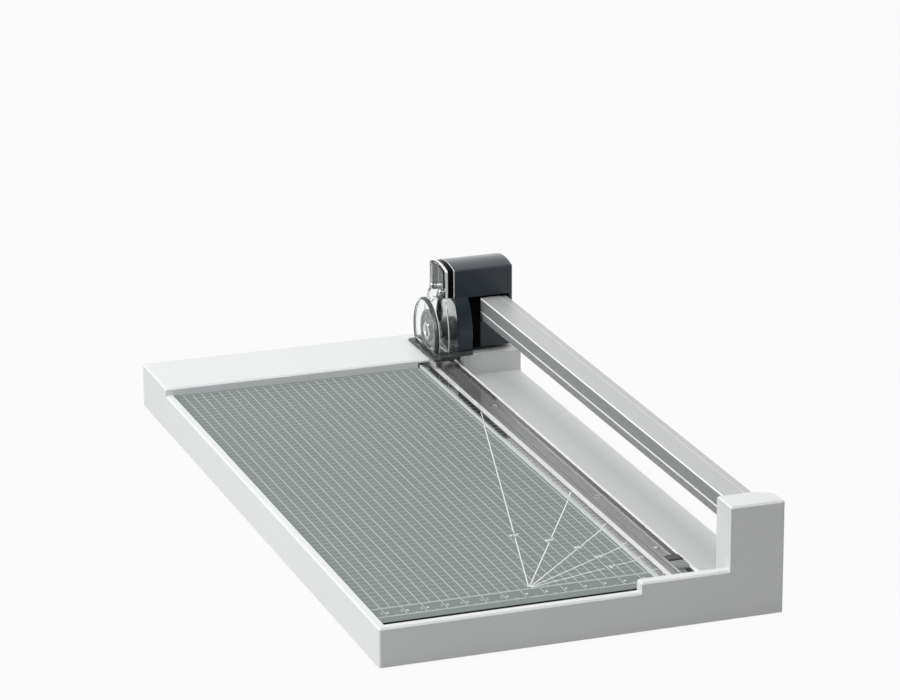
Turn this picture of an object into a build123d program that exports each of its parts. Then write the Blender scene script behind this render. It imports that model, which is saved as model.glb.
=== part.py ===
"""Rotary paper trimmer: a bed with a paper fence, a rail between two posts and a sliding cutter head.

Millimetres. +X points to the offcut side, +Y to the fence, +Z up. The origin is on the table, under the
middle of the base. The cutter head is at its rest place, over the fence.
"""
import os
from math import sqrt

from build123d import *

# Base moulding. Its heights are above its own lower edge.
base_width = 205.4
base_depth = 405.0
base_lift = 1.0
rim_height = 19.7
left_rim = 3.9
front_rim = 4.3
fence_height = 23.7
fence_depth = 46.5
bar_height = 24.8
bar_depth = 6.4
bar_length = 45.4
post_height = 57.2
post_width = 28.1
post_depth = 17.2
post_cut_x = 9.4
post_cut_y = 5.1
tray_height = 11.4
corner_round = 1.2
edge_bevel = 0.9
wall = 2.4
deck = 2.4
rib = 1.6
boss_radius = 3.4
boss_length = 6.0
bed_columns = 4
bed_rows = 7
level_slack = 0.01

# Bed: printed mat, white rib and steel counter blade, all with their tops level
bed_drop = 0.8
mat_thickness = 1.0
mat_fit = 0.2
mat_front_gap = 2.1
bed_rib_width = 3.1
cut_line_inset = 35.8
counter_blade_width = 15.0
counter_blade_thickness = 1.5
counter_blade_overhang = 0.6
counter_blade_fit = 0.15
counter_blade_bevel = 0.5
scribe_inset = 12.1
scribe_width = 0.4
scribe_depth = 0.3
counter_screw_count = 2
counter_screw_pitch = 150.0

# Slot through the fence for the clamp's end and the blade
notch_depth = 36.5
notch_side = 1.2
blade_slot_width = 3.0

# Clear paper clamp
clamp_width = 22.2
clamp_thickness = 1.6
clamp_edge_gap = 1.5
clamp_lift = 0.8
clamp_rest_gap = 0.05
clamp_front_gap = 1.4
clamp_back_reach = 29.0
clamp_left_bevel = 0.3
clamp_left_edge = 1.3
clamp_right_bevel = 4.6
clamp_right_edge = 0.5
guide_screw_inset = 8.7
guide_screw_front = 52.5
guide_screw_rear = 18.0
guide_shank_radius = 0.9
guide_head_radius = 1.6
guide_head_height = 0.5
guide_slack = 0.15
guide_floor = 0.4
guide_block_width = 7.4
guide_block_length = 6.4
guide_block_height = 2.4
guide_block_inset = 6.4
guide_block_front = 35.7
guide_block_rear = 6.0
guide_block_slack = 0.4
guide_block_bevel = 0.5
grip_length = 8.0
grip_height = 1.1
grip_rib_count = 4
grip_rib_pitch = 1.9
grip_rib_width = 0.8
grip_rib_height = 0.7
peg_radius = 1.5
peg_length = 5.0

# Rail: a hollow aluminium extrusion
rail_width = 15.6
rail_height = 12.0
rail_drop = 3.3
rail_inset = 6.5
rail_wall = 1.6
rail_strip = 3.8
rail_step = 0.4
rail_groove_drop = 7.2
rail_groove = 0.8
rail_groove_depth = 0.4
rail_edge_bevel = 0.4
rail_socket = 12.0
rail_fit = 0.1
rail_seat = 4.0
plug_fit = 0.1
cap_thickness = 2.2
cap_fit = 0.15

# Screws, pins and their bosses, drawn with flats
screw_fit = 0.05
screw_flat_count = 12
small_screw_radius = 1.4
small_head_radius = 2.6
small_head_height = 1.3
rail_screw_radius = 1.5
rail_screw_head_radius = 2.8
rail_screw_head_height = 1.8
rail_screw_grip = 5.0

# Rubber feet
foot_radius = 6.0
foot_recess = 0.8
foot_boss_wall = 1.6
foot_inset_x = 16.0
foot_inset_y = 30.0
foot_bevel = 0.6
foot_flat_count = 24

# Cutter head
park_gap = 0.8
head_length = 24.1
head_rise = 19.5
head_arch_radius = 37.8
head_clearance = 2.1
head_side = 3.2
head_left_reach = 1.6
head_bevel = 0.8
head_edge = 0.6
head_wall = 2.0
liner_wall = 1.2
liner_length = 7.0
liner_recess = 1.4
liner_fit = 0.05
slide_gap = 0.1

# Round blade, its hub and its axle
blade_radius = 17.3
blade_thickness = 0.8
blade_edge = 0.15
blade_bevel_width = 2.2
blade_overlap = 1.9
shear_gap = 0.1
blade_bore_radius = 4.0
hub_radius = 4.8
hub_flange_radius = 6.8
hub_flange = 2.4
hub_length = 7.0
axle_radius = 3.0
axle_thread_radius = 2.4
axle_head_radius = 5.2
axle_head_height = 2.6
axle_slot = 1.2
axle_slot_depth = 1.0
running_gap = 0.05
side_gap = 0.1
washer_thickness = 0.6
washer_radius = 5.4
disc_spring_radius = 6.4
disc_spring_thickness = 0.5
nut_height = 2.4
nut_width = 7.6
nut_fit = 0.1

# Guard, clear cover and foot
guard_reach = 6.5
guard_left_reach = 1.8
guard_blade_gap = 0.7
guard_bulge_radius = 35.2
guard_wall = 1.4
guard_side_wall = 4.1
guard_top_gap = 0.1
guard_edge = 0.5
cover_reach = 8.1
cover_wall = 1.6
cover_bevel = 0.6
drum_reach = 15.4
drum_inset = 0.2
drum_bevel = 1.2
seal_width = 3.4
seal_flange = 0.4
seal_depth = 1.0
seal_sink = 0.1
seal_fit = 0.05
skid_left_reach = 19.3
skid_side_gap = 0.1
skid_front_rim = 8.5
skid_rear_rim = 2.2
skid_step = 4.6
skid_toe = 0.8
skid_toe_gap = 0.3
skid_thickness = 2.4
skid_clearance = 0.35
skid_round = 2.0
skid_ramp = 1.2
skid_slot_side = 0.5
skid_slot_end = 0.6
skid_window_rim = 2.0
cover_screw_spread = 14.0
cover_boss_gap = 0.1
cover_screw_grip = 5.0
guard_screw_spread = 16.0
guard_screw_rise = 11.0
guard_screw_grip = 4.0
skid_screw_spread = 26.0
skid_screw_grip = 5.0
tiny_screw_radius = 1.0
tiny_head_radius = 1.7
tiny_head_height = 1.1
cover_boss_radius = 2.2

# Places worked out from the sizes above
left = -base_width / 2
right = base_width / 2
front = -base_depth / 2
back = base_depth / 2
floor = base_lift
rim_top = floor + rim_height
bed_top = rim_top - bed_drop
fence_top = floor + fence_height
bar_top = floor + bar_height
post_top = floor + post_height
tray_top = floor + tray_height
fence_front = back - fence_depth
post_left = right - post_width
bar_left = post_left - bar_length
bar_back = front + bar_depth
bed_front = front + front_rim
front_post_back = front + post_depth
rear_post_front = back - post_depth
cut_line = right - cut_line_inset
bed_wall = cut_line - counter_blade_overhang
blade_strip_left = cut_line - counter_blade_width
mat_right = blade_strip_left - bed_rib_width
mat_floor = bed_top - mat_thickness
blade_seat = bed_top - counter_blade_thickness
under_bed = min(mat_floor, blade_seat) - deck
under_tray = tray_top - deck
under_fence = fence_top - deck
clamp_right = cut_line - clamp_edge_gap
clamp_left = clamp_right - clamp_width
clamp_front = bar_back + clamp_front_gap
clamp_back = fence_front + clamp_back_reach
clamp_bottom = bed_top + clamp_rest_gap
clamp_top = clamp_bottom + clamp_thickness
notch_left = clamp_left - notch_side
notch_right = bed_wall + blade_slot_width
notch_back = fence_front + notch_depth
rail_right = right - rail_inset
rail_left = rail_right - rail_width
rail_top = post_top - rail_drop
rail_bottom = rail_top - rail_height
rail_x = (rail_left + rail_right) / 2
rail_z = (rail_top + rail_bottom) / 2
rail_front = front_post_back - rail_socket
rail_back = back - cap_thickness
post_hollow_top = rail_bottom - rail_fit - rail_seat
head_back = rear_post_front - park_gap
head_front = head_back - head_length
axle_y = (head_front + head_back) / 2
axle_z = bed_top - blade_overlap + blade_radius
head_left = cut_line - head_left_reach
head_right = rail_right + head_side
head_bottom = fence_top + head_clearance
head_crown = rail_top + head_rise
blade_left = cut_line + shear_gap
blade_right = blade_left + blade_thickness
guard_left = cut_line - guard_left_reach
guard_right = cut_line + guard_reach
guard_inner = guard_right - guard_side_wall
guard_bulge = blade_radius + guard_blade_gap + guard_wall
bulge_centre = guard_bulge_radius - guard_bulge
guard_top = axle_z + sqrt(guard_bulge_radius**2 - (bulge_centre + head_length / 2) ** 2)
cover_left = cut_line - cover_reach
drum_left = cut_line - drum_reach
drum_radius = guard_bulge - drum_inset
seal_left = guard_left - seal_flange - seal_width
skid_bottom = fence_top + skid_clearance
skid_top = skid_bottom + skid_thickness
skid_left = cut_line - skid_left_reach
skid_right = guard_right - skid_side_gap
skid_slot_left = blade_left - skid_slot_side
skid_slot_half = sqrt(blade_radius**2 - (axle_z - skid_top) ** 2) + skid_slot_end
skid_front = axle_y - skid_slot_half - skid_front_rim
skid_rear = axle_y + skid_slot_half + skid_rear_rim
skid_toe_right = guard_right + skid_toe
skid_toe_back = head_front - skid_toe_gap
guide_x = cut_line - guide_screw_inset
guide_ys = (front + guide_screw_front, fence_front + guide_screw_rear)
guide_head_seat = bed_top + guide_floor + clamp_lift + guide_slack
block_x = cut_line - guide_block_inset
block_ys = (front + guide_block_front, fence_front + guide_block_rear)
block_left = block_x - guide_block_width / 2
grip_back = block_ys[0] - guide_block_length / 2
grip_y = grip_back - grip_length / 2
notch_end = block_ys[0] + guide_block_length / 2 + guide_block_slack
scribe_x = cut_line - scribe_inset
counter_screw_y = (guide_ys[0] + fence_front) / 2
counter_screw_first = counter_screw_y - (counter_screw_count - 1) / 2 * counter_screw_pitch
counter_screw_ys = [counter_screw_first + i * counter_screw_pitch for i in range(counter_screw_count)]
feet = {
    "foot_front_left": (left + foot_inset_x, front + foot_inset_y, under_bed),
    "foot_front_right": (right - foot_inset_x, front + foot_inset_y, under_tray),
    "foot_rear_left": (left + foot_inset_x, back - foot_inset_y, under_fence),
    "foot_rear_right": (right - foot_inset_x, back - foot_inset_y, under_fence),
}
groove_top = rail_top - rail_groove_drop + rail_groove / 2
groove_bottom = groove_top - rail_groove
rail_hollow_width = rail_width - 2 * rail_wall
rail_hollow_height = rail_height - 2 * rail_wall
rear_socket = post_depth - cap_thickness
rail_screw_ys = (rail_front + rail_socket / 2, rear_post_front + rear_socket / 2)
liner_margin = slide_gap + liner_wall
channel_margin = liner_margin + liner_fit
wiper_top = rail_top + liner_margin
axle_axis = Axis((0, axle_y, axle_z), (1, 0, 0))
hub_left = blade_left - hub_length
washer_left = hub_left - side_gap - washer_thickness
axle_left = washer_left - axle_head_height
skid_screw_x = (guard_inner + guard_right) / 2
cover_screw_z = guard_top + cover_boss_gap + cover_boss_radius
guard_screw_z = axle_z + guard_screw_rise
cover_screw_spots = [(axle_y + k * cover_screw_spread / 2, cover_screw_z) for k in (-1, 1)]
guard_screw_spots = [(axle_y + k * guard_screw_spread / 2, guard_screw_z) for k in (-1, 1)]
guard_screw_places = [
    Plane((guard_inner, *spot), x_dir=(0, 1, 0), z_dir=(-1, 0, 0)) for spot in guard_screw_spots
]
skid_screw_spots = [(skid_screw_x, axle_y + k * skid_screw_spread / 2) for k in (-1, 1)]
skid_screw_places = [
    Plane((*spot, skid_bottom), x_dir=(0, 1, 0), z_dir=(0, 0, -1)) for spot in skid_screw_spots
]
counter_screw_places = [Plane((guide_x, y, bed_top)) for y in counter_screw_ys]
small_screw = (small_screw_radius, small_head_radius, small_head_height)
tiny_screw = (tiny_screw_radius, tiny_head_radius, tiny_head_height)

os.makedirs("parts", exist_ok=True)


def patch(x_low, x_high, y_low, y_high):
    """Adds a rectangle between two x values and two y values to the open sketch."""
    with Locations(((x_low + x_high) / 2, (y_low + y_high) / 2)):
        Rectangle(x_high - x_low, y_high - y_low)


def rib_cells(x_low, x_high, y_low, y_high, columns, rows):
    """Adds a grid of rectangles to the open sketch, with a rib's thickness between neighbours."""
    cell_x = (x_high - x_low - (columns - 1) * rib) / columns
    cell_y = (y_high - y_low - (rows - 1) * rib) / rows
    with Locations(((x_low + x_high) / 2, (y_low + y_high) / 2)):
        with GridLocations(cell_x + rib, cell_y + rib, columns, rows):
            Rectangle(cell_x, cell_y)


def post_outline(inner_y, outer_y, inset):
    """Returns a post's plan, drawn in by an inset, with its inner right corner cut off at a slant."""
    towards = 1 if outer_y > inner_y else -1
    slant = sqrt(post_cut_x**2 + post_cut_y**2)
    shift_y = inset * (slant - post_cut_x) / post_cut_y
    shift_x = inset * (slant - post_cut_y) / post_cut_x
    face_y = inner_y + towards * inset
    side_x = right - inset
    with BuildLine() as plan:
        Polyline(
            (post_left + inset, outer_y - towards * inset),
            (side_x, outer_y - towards * inset),
            (side_x, inner_y + towards * (post_cut_y + shift_x)),
            (right - post_cut_x - shift_y, face_y),
            (post_left + inset, face_y),
            close=True,
        )
    return plan.edges()


def head_outline(low, inset):
    """Returns the head's side view, drawn in by an inset: upright ends, bevelled shoulders and an arch."""
    half = head_length / 2 - inset
    arch = head_arch_radius - inset
    crown = head_crown - inset
    crest = half - head_bevel
    shoulder = crown - arch + sqrt(arch**2 - crest**2)
    corner = shoulder - head_bevel
    with BuildLine() as side:
        Polyline(
            (axle_y - crest, shoulder),
            (axle_y - half, corner),
            (axle_y - half, low),
            (axle_y + half, low),
            (axle_y + half, corner),
            (axle_y + crest, shoulder),
        )
        ThreePointArc((axle_y + crest, shoulder), (axle_y, crown), (axle_y - crest, shoulder))
    return side.edges()


def bulge_outline(top, inset):
    """Returns the guard's side view, drawn in by an inset: two arcs that bulge past the head's ends."""
    reach = guard_bulge_radius - inset
    half_low = sqrt(reach**2 - (axle_z - skid_top) ** 2) - bulge_centre
    half_high = sqrt(reach**2 - (top - axle_z) ** 2) - bulge_centre
    half_mid = reach - bulge_centre
    with BuildLine() as side:
        Line((axle_y - half_low, skid_top), (axle_y + half_low, skid_top))
        ThreePointArc((axle_y + half_low, skid_top), (axle_y + half_mid, axle_z), (axle_y + half_high, top))
        Line((axle_y + half_high, top), (axle_y - half_high, top))
        ThreePointArc((axle_y - half_high, top), (axle_y - half_mid, axle_z), (axle_y - half_low, skid_top))
    return side.edges()


def side_plane(x):
    """Returns the plane across the base at x, with local x along Y and local y along Z."""
    return Plane.YZ.offset(x)


def end_plane(y):
    """Returns the plane along the base at y, with local x along X and local y along Z."""
    return Plane.XZ.offset(-y)


def pin(radius):
    """Adds the section of a screw, a pin, a boss or a hole to the open sketch."""
    RegularPolygon(radius, screw_flat_count)


def flat_screws(places, radius, head_radius, head_height, length, grow, mode):
    """Adds countersunk screws, head up in each place, to the open part, or cuts holes with room to grow."""
    for place in places:
        with BuildSketch(place) as face:
            pin(head_radius + grow)
        with BuildSketch(place.offset(-head_height)) as neck:
            pin(radius + grow)
        loft([face.sketch, neck.sketch], ruled=True, mode=mode)
        extrude(neck.sketch, amount=head_height - length, mode=mode)


def turned(points):
    """Returns the closed half profile of a piece turned on the axle, from (x, radius) pairs."""
    with BuildLine() as half:
        Polyline(*[(x, axle_z + radius) for x, radius in points], close=True)
    return half.edges()


def finish(piece, name):
    """Labels a finished piece and writes it."""
    piece.part.label = name
    export_step(piece.part, f"parts/{name}.step")


# Base moulding: outer form, bed, slots, hollow underside, bosses and rail sockets
with BuildPart() as base_shell:
    with BuildSketch(Plane.XY.offset(floor)):
        patch(left, right, front, back)
    extrude(amount=tray_height)
    with BuildSketch(Plane.XY.offset(floor)):
        patch(left, bed_wall, front, fence_front)
    extrude(amount=rim_height)
    with BuildSketch(Plane.XY.offset(floor)):
        patch(left, right, fence_front, back)
    extrude(amount=fence_height)
    with BuildSketch(Plane.XY.offset(floor)):
        patch(bar_left, post_left + wall, front, bar_back)
    extrude(amount=bar_height)
    with BuildSketch(Plane.XY.offset(floor)):
        make_face(post_outline(front_post_back, front, 0))
        make_face(post_outline(rear_post_front, back, 0))
    extrude(amount=post_height)
    with BuildSketch(Plane.XY.offset(floor)):
        RectangleRounded(base_width, base_depth, corner_round)
    extrude(amount=post_height, mode=Mode.INTERSECT)
    # Bevelled upper edges: both posts, the front bar, the fence, the outer rims and the tray's lip
    for level in (post_top, bar_top, fence_top):
        flat_faces = base_shell.faces().filter_by(Plane.XY)
        tops = flat_faces.filter_by(lambda f: abs(f.center().Z - level) < level_slack)
        rims = ShapeList([e for f in tops for e in f.edges()])
        if level < post_top:
            rims = rims.filter_by(lambda e: e.center().X < post_left - level_slack)
        chamfer(rims, edge_bevel)
    rim_edges = base_shell.edges().filter_by(lambda e: abs(e.center().Z - rim_top) < level_slack)
    outer_rims = rim_edges.filter_by(
        lambda e: e.center().X < left + corner_round
        or (e.center().Y < front + corner_round and e.center().X < bar_left)
    )
    chamfer(outer_rims, edge_bevel)
    tray_edges = base_shell.edges().filter_by(lambda e: abs(e.center().Z - tray_top) < level_slack)
    chamfer(tray_edges.filter_by(lambda e: abs(e.center().X - right) < level_slack), edge_bevel)
    # Recess of the mat, the bed's upper face and the seat of the counter blade
    with BuildSketch(Plane.XY.offset(mat_floor)):
        patch(left + left_rim, mat_right, bar_back, fence_front)
        patch(left + left_rim, bar_left, bed_front, bar_back)
    extrude(amount=rim_height, mode=Mode.SUBTRACT)
    with BuildSketch(Plane.XY.offset(bed_top)):
        patch(mat_right, bed_wall, bar_back, fence_front)
        patch(notch_left, bed_wall, fence_front, notch_back)
    extrude(amount=rim_height, mode=Mode.SUBTRACT)
    with BuildSketch(Plane.XY.offset(blade_seat)):
        patch(blade_strip_left - counter_blade_fit, bed_wall, bar_back, notch_back)
    extrude(amount=rim_height, mode=Mode.SUBTRACT)
    with BuildSketch(Plane.XY.offset(tray_top)):
        patch(bed_wall, notch_right, fence_front, notch_back)
    extrude(amount=rim_height, mode=Mode.SUBTRACT)
    # Hollow underside with ribs
    with BuildSketch(Plane.XY.offset(floor)):
        rib_cells(left + wall, bed_wall - wall, front + wall, fence_front - rib, bed_columns, bed_rows)
    extrude(amount=under_bed - floor, mode=Mode.SUBTRACT)
    with BuildSketch(Plane.XY.offset(floor)):
        rib_cells(bed_wall, right - wall, front_post_back, fence_front - rib, 1, bed_rows)
        patch(notch_left, notch_right, fence_front + wall, back - wall)
    extrude(amount=under_tray - floor, mode=Mode.SUBTRACT)
    with BuildSketch(Plane.XY.offset(floor)):
        rib_cells(left + wall, notch_left - wall, fence_front + wall, back - wall, bed_columns, 1)
        patch(post_left, right - wall, fence_front + wall, rear_post_front)
    extrude(amount=under_fence - floor, mode=Mode.SUBTRACT)
    with BuildSketch(Plane.XY.offset(floor)):
        make_face(post_outline(front_post_back, front, wall))
        make_face(post_outline(rear_post_front, back, wall))
    extrude(amount=post_hollow_top - floor, mode=Mode.SUBTRACT)
    # Screw bosses under the bed
    with BuildSketch(Plane.XY.offset(under_bed - boss_length)):
        with Locations(*[(guide_x, y) for y in (*guide_ys, *counter_screw_ys)]):
            pin(boss_radius)
        with Locations(*[(block_x, y) for y in block_ys]):
            pin(boss_radius)
    extrude(amount=boss_length + deck / 2)
    with BuildSketch(Plane.XY.offset(blade_seat)):
        with Locations(*[(guide_x, y) for y in guide_ys]):
            pin(guide_shank_radius + screw_fit)
        with Locations(*[(guide_x, y) for y in counter_screw_ys]):
            pin(small_screw_radius + screw_fit)
        with Locations(*[(block_x, y) for y in block_ys]):
            pin(peg_radius + screw_fit)
    extrude(amount=floor - blade_seat, mode=Mode.SUBTRACT)
    # Seats of the rubber feet
    for foot_x, foot_y, ceiling in feet.values():
        with BuildSketch(Plane.XY.offset(floor)):
            with Locations((foot_x, foot_y)):
                RegularPolygon(foot_radius + foot_boss_wall, foot_flat_count)
        extrude(amount=ceiling - floor + deck / 2)
        with BuildSketch(Plane.XY.offset(floor)):
            with Locations((foot_x, foot_y)):
                RegularPolygon(foot_radius + screw_fit, foot_flat_count)
        extrude(amount=foot_recess, mode=Mode.SUBTRACT)
    # Rail sockets: blind in the front post, through the rear post
    for socket_start, socket_length in ((rail_front, rail_socket), (rear_post_front, post_depth)):
        with BuildSketch(end_plane(socket_start)):
            with Locations((rail_x, rail_z)):
                Rectangle(rail_width + 2 * rail_fit, rail_height + 2 * rail_fit)
        extrude(amount=-socket_length, mode=Mode.SUBTRACT)
    with BuildSketch(Plane.XY.offset(post_hollow_top)):
        with Locations(*[(rail_x, y) for y in rail_screw_ys]):
            pin(rail_screw_radius + screw_fit)
    extrude(amount=rail_seat + rail_fit, mode=Mode.SUBTRACT)
finish(base_shell, "base_shell")

# Printed mat
with BuildPart() as cutting_mat:
    with BuildSketch(Plane.XY.offset(mat_floor)):
        patch(
            left + left_rim + mat_fit,
            mat_right - mat_fit,
            bar_back + mat_front_gap,
            fence_front - mat_fit,
        )
    extrude(amount=mat_thickness)
finish(cutting_mat, "cutting_mat")

# Counter blade: steel strip, relieved under its cutting edge, with a line scribed along it
with BuildPart() as counter_blade:
    with BuildSketch(Plane.XY.offset(blade_seat)):
        patch(
            blade_strip_left,
            cut_line,
            bar_back + counter_blade_fit,
            notch_back - counter_blade_fit,
        )
        with Locations(*[(guide_x, y) for y in guide_ys]):
            RegularPolygon(guide_shank_radius + screw_fit, screw_flat_count, mode=Mode.SUBTRACT)
        with Locations(*[(block_x, y) for y in block_ys]):
            RegularPolygon(peg_radius + screw_fit, screw_flat_count, mode=Mode.SUBTRACT)
    extrude(amount=counter_blade_thickness)
    relief = counter_blade.edges().filter_by(Axis.Y).sort_by(Axis.X).filter_by(
        lambda e: abs(e.center().X - cut_line) < level_slack and e.center().Z < bed_top - level_slack
    )
    chamfer(relief, counter_blade_bevel)
    with BuildSketch(Plane.XY.offset(bed_top)):
        patch(scribe_x - scribe_width / 2, scribe_x + scribe_width / 2, bar_back, notch_back)
    extrude(amount=-scribe_depth, mode=Mode.SUBTRACT)
    flat_screws(counter_screw_places, *small_screw, counter_blade_thickness, screw_fit, Mode.SUBTRACT)
finish(counter_blade, "counter_blade")

with BuildPart() as counter_blade_screws:
    counter_screw_length = counter_blade_thickness + deck + boss_length / 2
    flat_screws(counter_screw_places, *small_screw, counter_screw_length, 0, Mode.ADD)
finish(counter_blade_screws, "counter_blade_screws")

# Screws that the clamp rises on, with flat heads sunk in it
with BuildPart() as clamp_guide_screws:
    shank_foot = blade_seat - deck - boss_length / 2
    with BuildSketch(Plane.XY.offset(shank_foot)):
        with Locations(*[(guide_x, y) for y in guide_ys]):
            pin(guide_shank_radius)
    extrude(amount=guide_head_seat - shank_foot)
    with BuildSketch(Plane.XY.offset(guide_head_seat)):
        with Locations(*[(guide_x, y) for y in guide_ys]):
            pin(guide_head_radius)
    extrude(amount=guide_head_height)
finish(clamp_guide_screws, "clamp_guide_screws")

# Blocks that stand in the clamp's notch and window, the front one with a ribbed grip before it
clamp_guides = {"clamp_guide_front": (block_ys[0], grip_rib_count), "clamp_guide_rear": (block_ys[1], 0)}
for block_name, (block_y, rib_count) in clamp_guides.items():
    with BuildPart() as clamp_guide:
        with BuildSketch(Plane.XY.offset(bed_top)):
            with Locations((block_x, block_y)):
                Rectangle(guide_block_width, guide_block_length)
        extrude(amount=guide_block_height)
        upper_edges = clamp_guide.faces().sort_by(Axis.Z)[-1].edges()
        chamfer(upper_edges, guide_block_bevel)
        with BuildSketch(Plane.XY.offset(bed_top)):
            with Locations((block_x, block_y)):
                pin(peg_radius)
        extrude(amount=-peg_length)
        if rib_count:
            with BuildSketch(Plane.XY.offset(bed_top)):
                with Locations((block_x, grip_y)):
                    Rectangle(guide_block_width, grip_length)
            extrude(amount=grip_height)
            with BuildSketch(Plane.XY.offset(bed_top + grip_height)):
                with Locations((block_x, grip_y)):
                    with GridLocations(1, grip_rib_pitch, 1, rib_count):
                        Rectangle(guide_block_width, grip_rib_width)
            extrude(amount=grip_rib_height)
    finish(clamp_guide, block_name)

# Clear clamp: a strip with bevelled long edges, a notch, a window and sunk screw seats
with BuildPart() as paper_clamp:
    with BuildSketch(end_plane(clamp_front)):
        with BuildLine():
            Polyline(
                (clamp_left, clamp_bottom),
                (clamp_right, clamp_bottom),
                (clamp_right, clamp_bottom + clamp_right_edge),
                (clamp_right - clamp_right_bevel, clamp_top),
                (clamp_left + clamp_left_bevel, clamp_top),
                (clamp_left, clamp_bottom + clamp_left_edge),
                close=True,
            )
        make_face()
    extrude(amount=clamp_front - clamp_back)
    with BuildSketch(Plane.XY.offset(clamp_bottom)):
        with Locations(*[(guide_x, y) for y in guide_ys]):
            pin(guide_shank_radius + guide_slack)
        with Locations((block_x, block_ys[1])):
            Rectangle(guide_block_width + 2 * guide_block_slack, guide_block_length + 2 * guide_block_slack)
        patch(block_left - guide_block_slack, clamp_right, clamp_front, notch_end)
    extrude(amount=clamp_thickness, mode=Mode.SUBTRACT)
    with BuildSketch(Plane.XY.offset(clamp_bottom + guide_floor)):
        with Locations(*[(guide_x, y) for y in guide_ys]):
            pin(guide_head_radius + guide_slack)
    extrude(amount=clamp_thickness, mode=Mode.SUBTRACT)
finish(paper_clamp, "paper_clamp")

# Rail: hollow section with a stepped top, a groove along its inner side and bevelled lips
with BuildPart() as rail:
    with BuildSketch(end_plane(rail_front)):
        with BuildLine():
            Polyline(
                (rail_left, rail_bottom),
                (rail_right, rail_bottom),
                (rail_right, rail_top - rail_step),
                (rail_right - rail_strip, rail_top - rail_step),
                (rail_right - rail_strip - rail_edge_bevel, rail_top),
                (rail_left + rail_edge_bevel, rail_top),
                (rail_left, rail_top - rail_edge_bevel),
                (rail_left, groove_top),
                (rail_left + rail_groove_depth, groove_top),
                (rail_left + rail_groove_depth, groove_bottom),
                (rail_left, groove_bottom - rail_edge_bevel),
                close=True,
            )
        make_face()
        with Locations((rail_x, rail_z)):
            Rectangle(rail_hollow_width, rail_hollow_height, mode=Mode.SUBTRACT)
    extrude(amount=rail_front - rail_back)
    with BuildSketch(Plane.XY.offset(rail_bottom)):
        with Locations(*[(rail_x, y) for y in rail_screw_ys]):
            pin(rail_screw_radius + screw_fit)
    extrude(amount=rail_wall, mode=Mode.SUBTRACT)
finish(rail, "rail")

# Plugs in the rail's ends, each drilled from below for its screw
plugs = {
    "rail_plug_front": (rail_front, rail_socket, rail_screw_ys[0]),
    "rail_plug_rear": (rear_post_front, rear_socket, rail_screw_ys[1]),
}
for plug_name, (plug_start, plug_length, screw_y) in plugs.items():
    with BuildPart() as rail_plug:
        with BuildSketch(end_plane(plug_start)):
            with Locations((rail_x, rail_z)):
                Rectangle(rail_hollow_width - 2 * plug_fit, rail_hollow_height - 2 * plug_fit)
        extrude(amount=-plug_length)
        with BuildSketch(Plane.XY.offset(rail_bottom + rail_wall)):
            with Locations((rail_x, screw_y)):
                pin(rail_screw_radius + screw_fit)
        extrude(amount=rail_screw_grip + screw_fit, mode=Mode.SUBTRACT)
    finish(rail_plug, plug_name)

with BuildPart() as rail_screws:
    with BuildSketch(Plane.XY.offset(post_hollow_top)):
        with Locations(*[(rail_x, y) for y in rail_screw_ys]):
            pin(rail_screw_radius)
    extrude(amount=rail_seat + rail_fit + rail_wall + rail_screw_grip)
    with BuildSketch(Plane.XY.offset(post_hollow_top)):
        with Locations(*[(rail_x, y) for y in rail_screw_ys]):
            pin(rail_screw_head_radius)
    extrude(amount=-rail_screw_head_height)
finish(rail_screws, "rail_screws")

with BuildPart() as rail_end_cap:
    with BuildSketch(end_plane(rail_back)):
        with Locations((rail_x, rail_z)):
            Rectangle(rail_width + 2 * (rail_fit - cap_fit), rail_height + 2 * (rail_fit - cap_fit))
    extrude(amount=-cap_thickness)
finish(rail_end_cap, "rail_end_cap")

# Rubber feet
for foot_name, (foot_x, foot_y, ceiling) in feet.items():
    with BuildPart() as foot:
        with BuildSketch(Plane.XY):
            with Locations((foot_x, foot_y)):
                RegularPolygon(foot_radius, foot_flat_count)
        extrude(amount=floor + foot_recess)
        chamfer(foot.faces().sort_by(Axis.Z)[0].edges(), foot_bevel)
    finish(foot, foot_name)

# Housing that runs round the rail
with BuildPart() as carriage_housing:
    with BuildSketch(side_plane(head_left)):
        make_face(head_outline(head_bottom, 0))
    extrude(amount=head_right - head_left)
    chamfer(carriage_housing.faces().sort_by(Axis.X)[-1].edges(), head_edge)
    with BuildSketch(end_plane(head_front)):
        patch(head_left, guard_right, head_bottom, guard_top + guard_top_gap)
        with Locations((rail_x, rail_z)):
            Rectangle(rail_width + 2 * channel_margin, rail_height + 2 * channel_margin)
    extrude(amount=-head_length, mode=Mode.SUBTRACT)
    for pocket_start in (head_front, head_back - liner_recess):
        with BuildSketch(end_plane(pocket_start)):
            patch(guard_right, rail_left - slide_gap, head_bottom, rail_top + channel_margin)
        extrude(amount=-liner_recess, mode=Mode.SUBTRACT)
    with BuildSketch(Plane.XY.offset(head_bottom)):
        patch(
            guard_right + head_wall,
            head_right - head_wall,
            head_front + liner_recess + head_wall,
            head_back - liner_recess - head_wall,
        )
    extrude(amount=rail_bottom - channel_margin - head_wall - head_bottom, mode=Mode.SUBTRACT)
    with BuildSketch(side_plane(head_left)):
        with Locations(*cover_screw_spots):
            pin(tiny_screw_radius + screw_fit)
    extrude(amount=cover_screw_grip, mode=Mode.SUBTRACT)
    with BuildSketch(side_plane(guard_right)):
        with Locations(*guard_screw_spots):
            pin(tiny_screw_radius + screw_fit)
    extrude(amount=guard_screw_grip, mode=Mode.SUBTRACT)
finish(carriage_housing, "carriage_housing")

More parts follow.
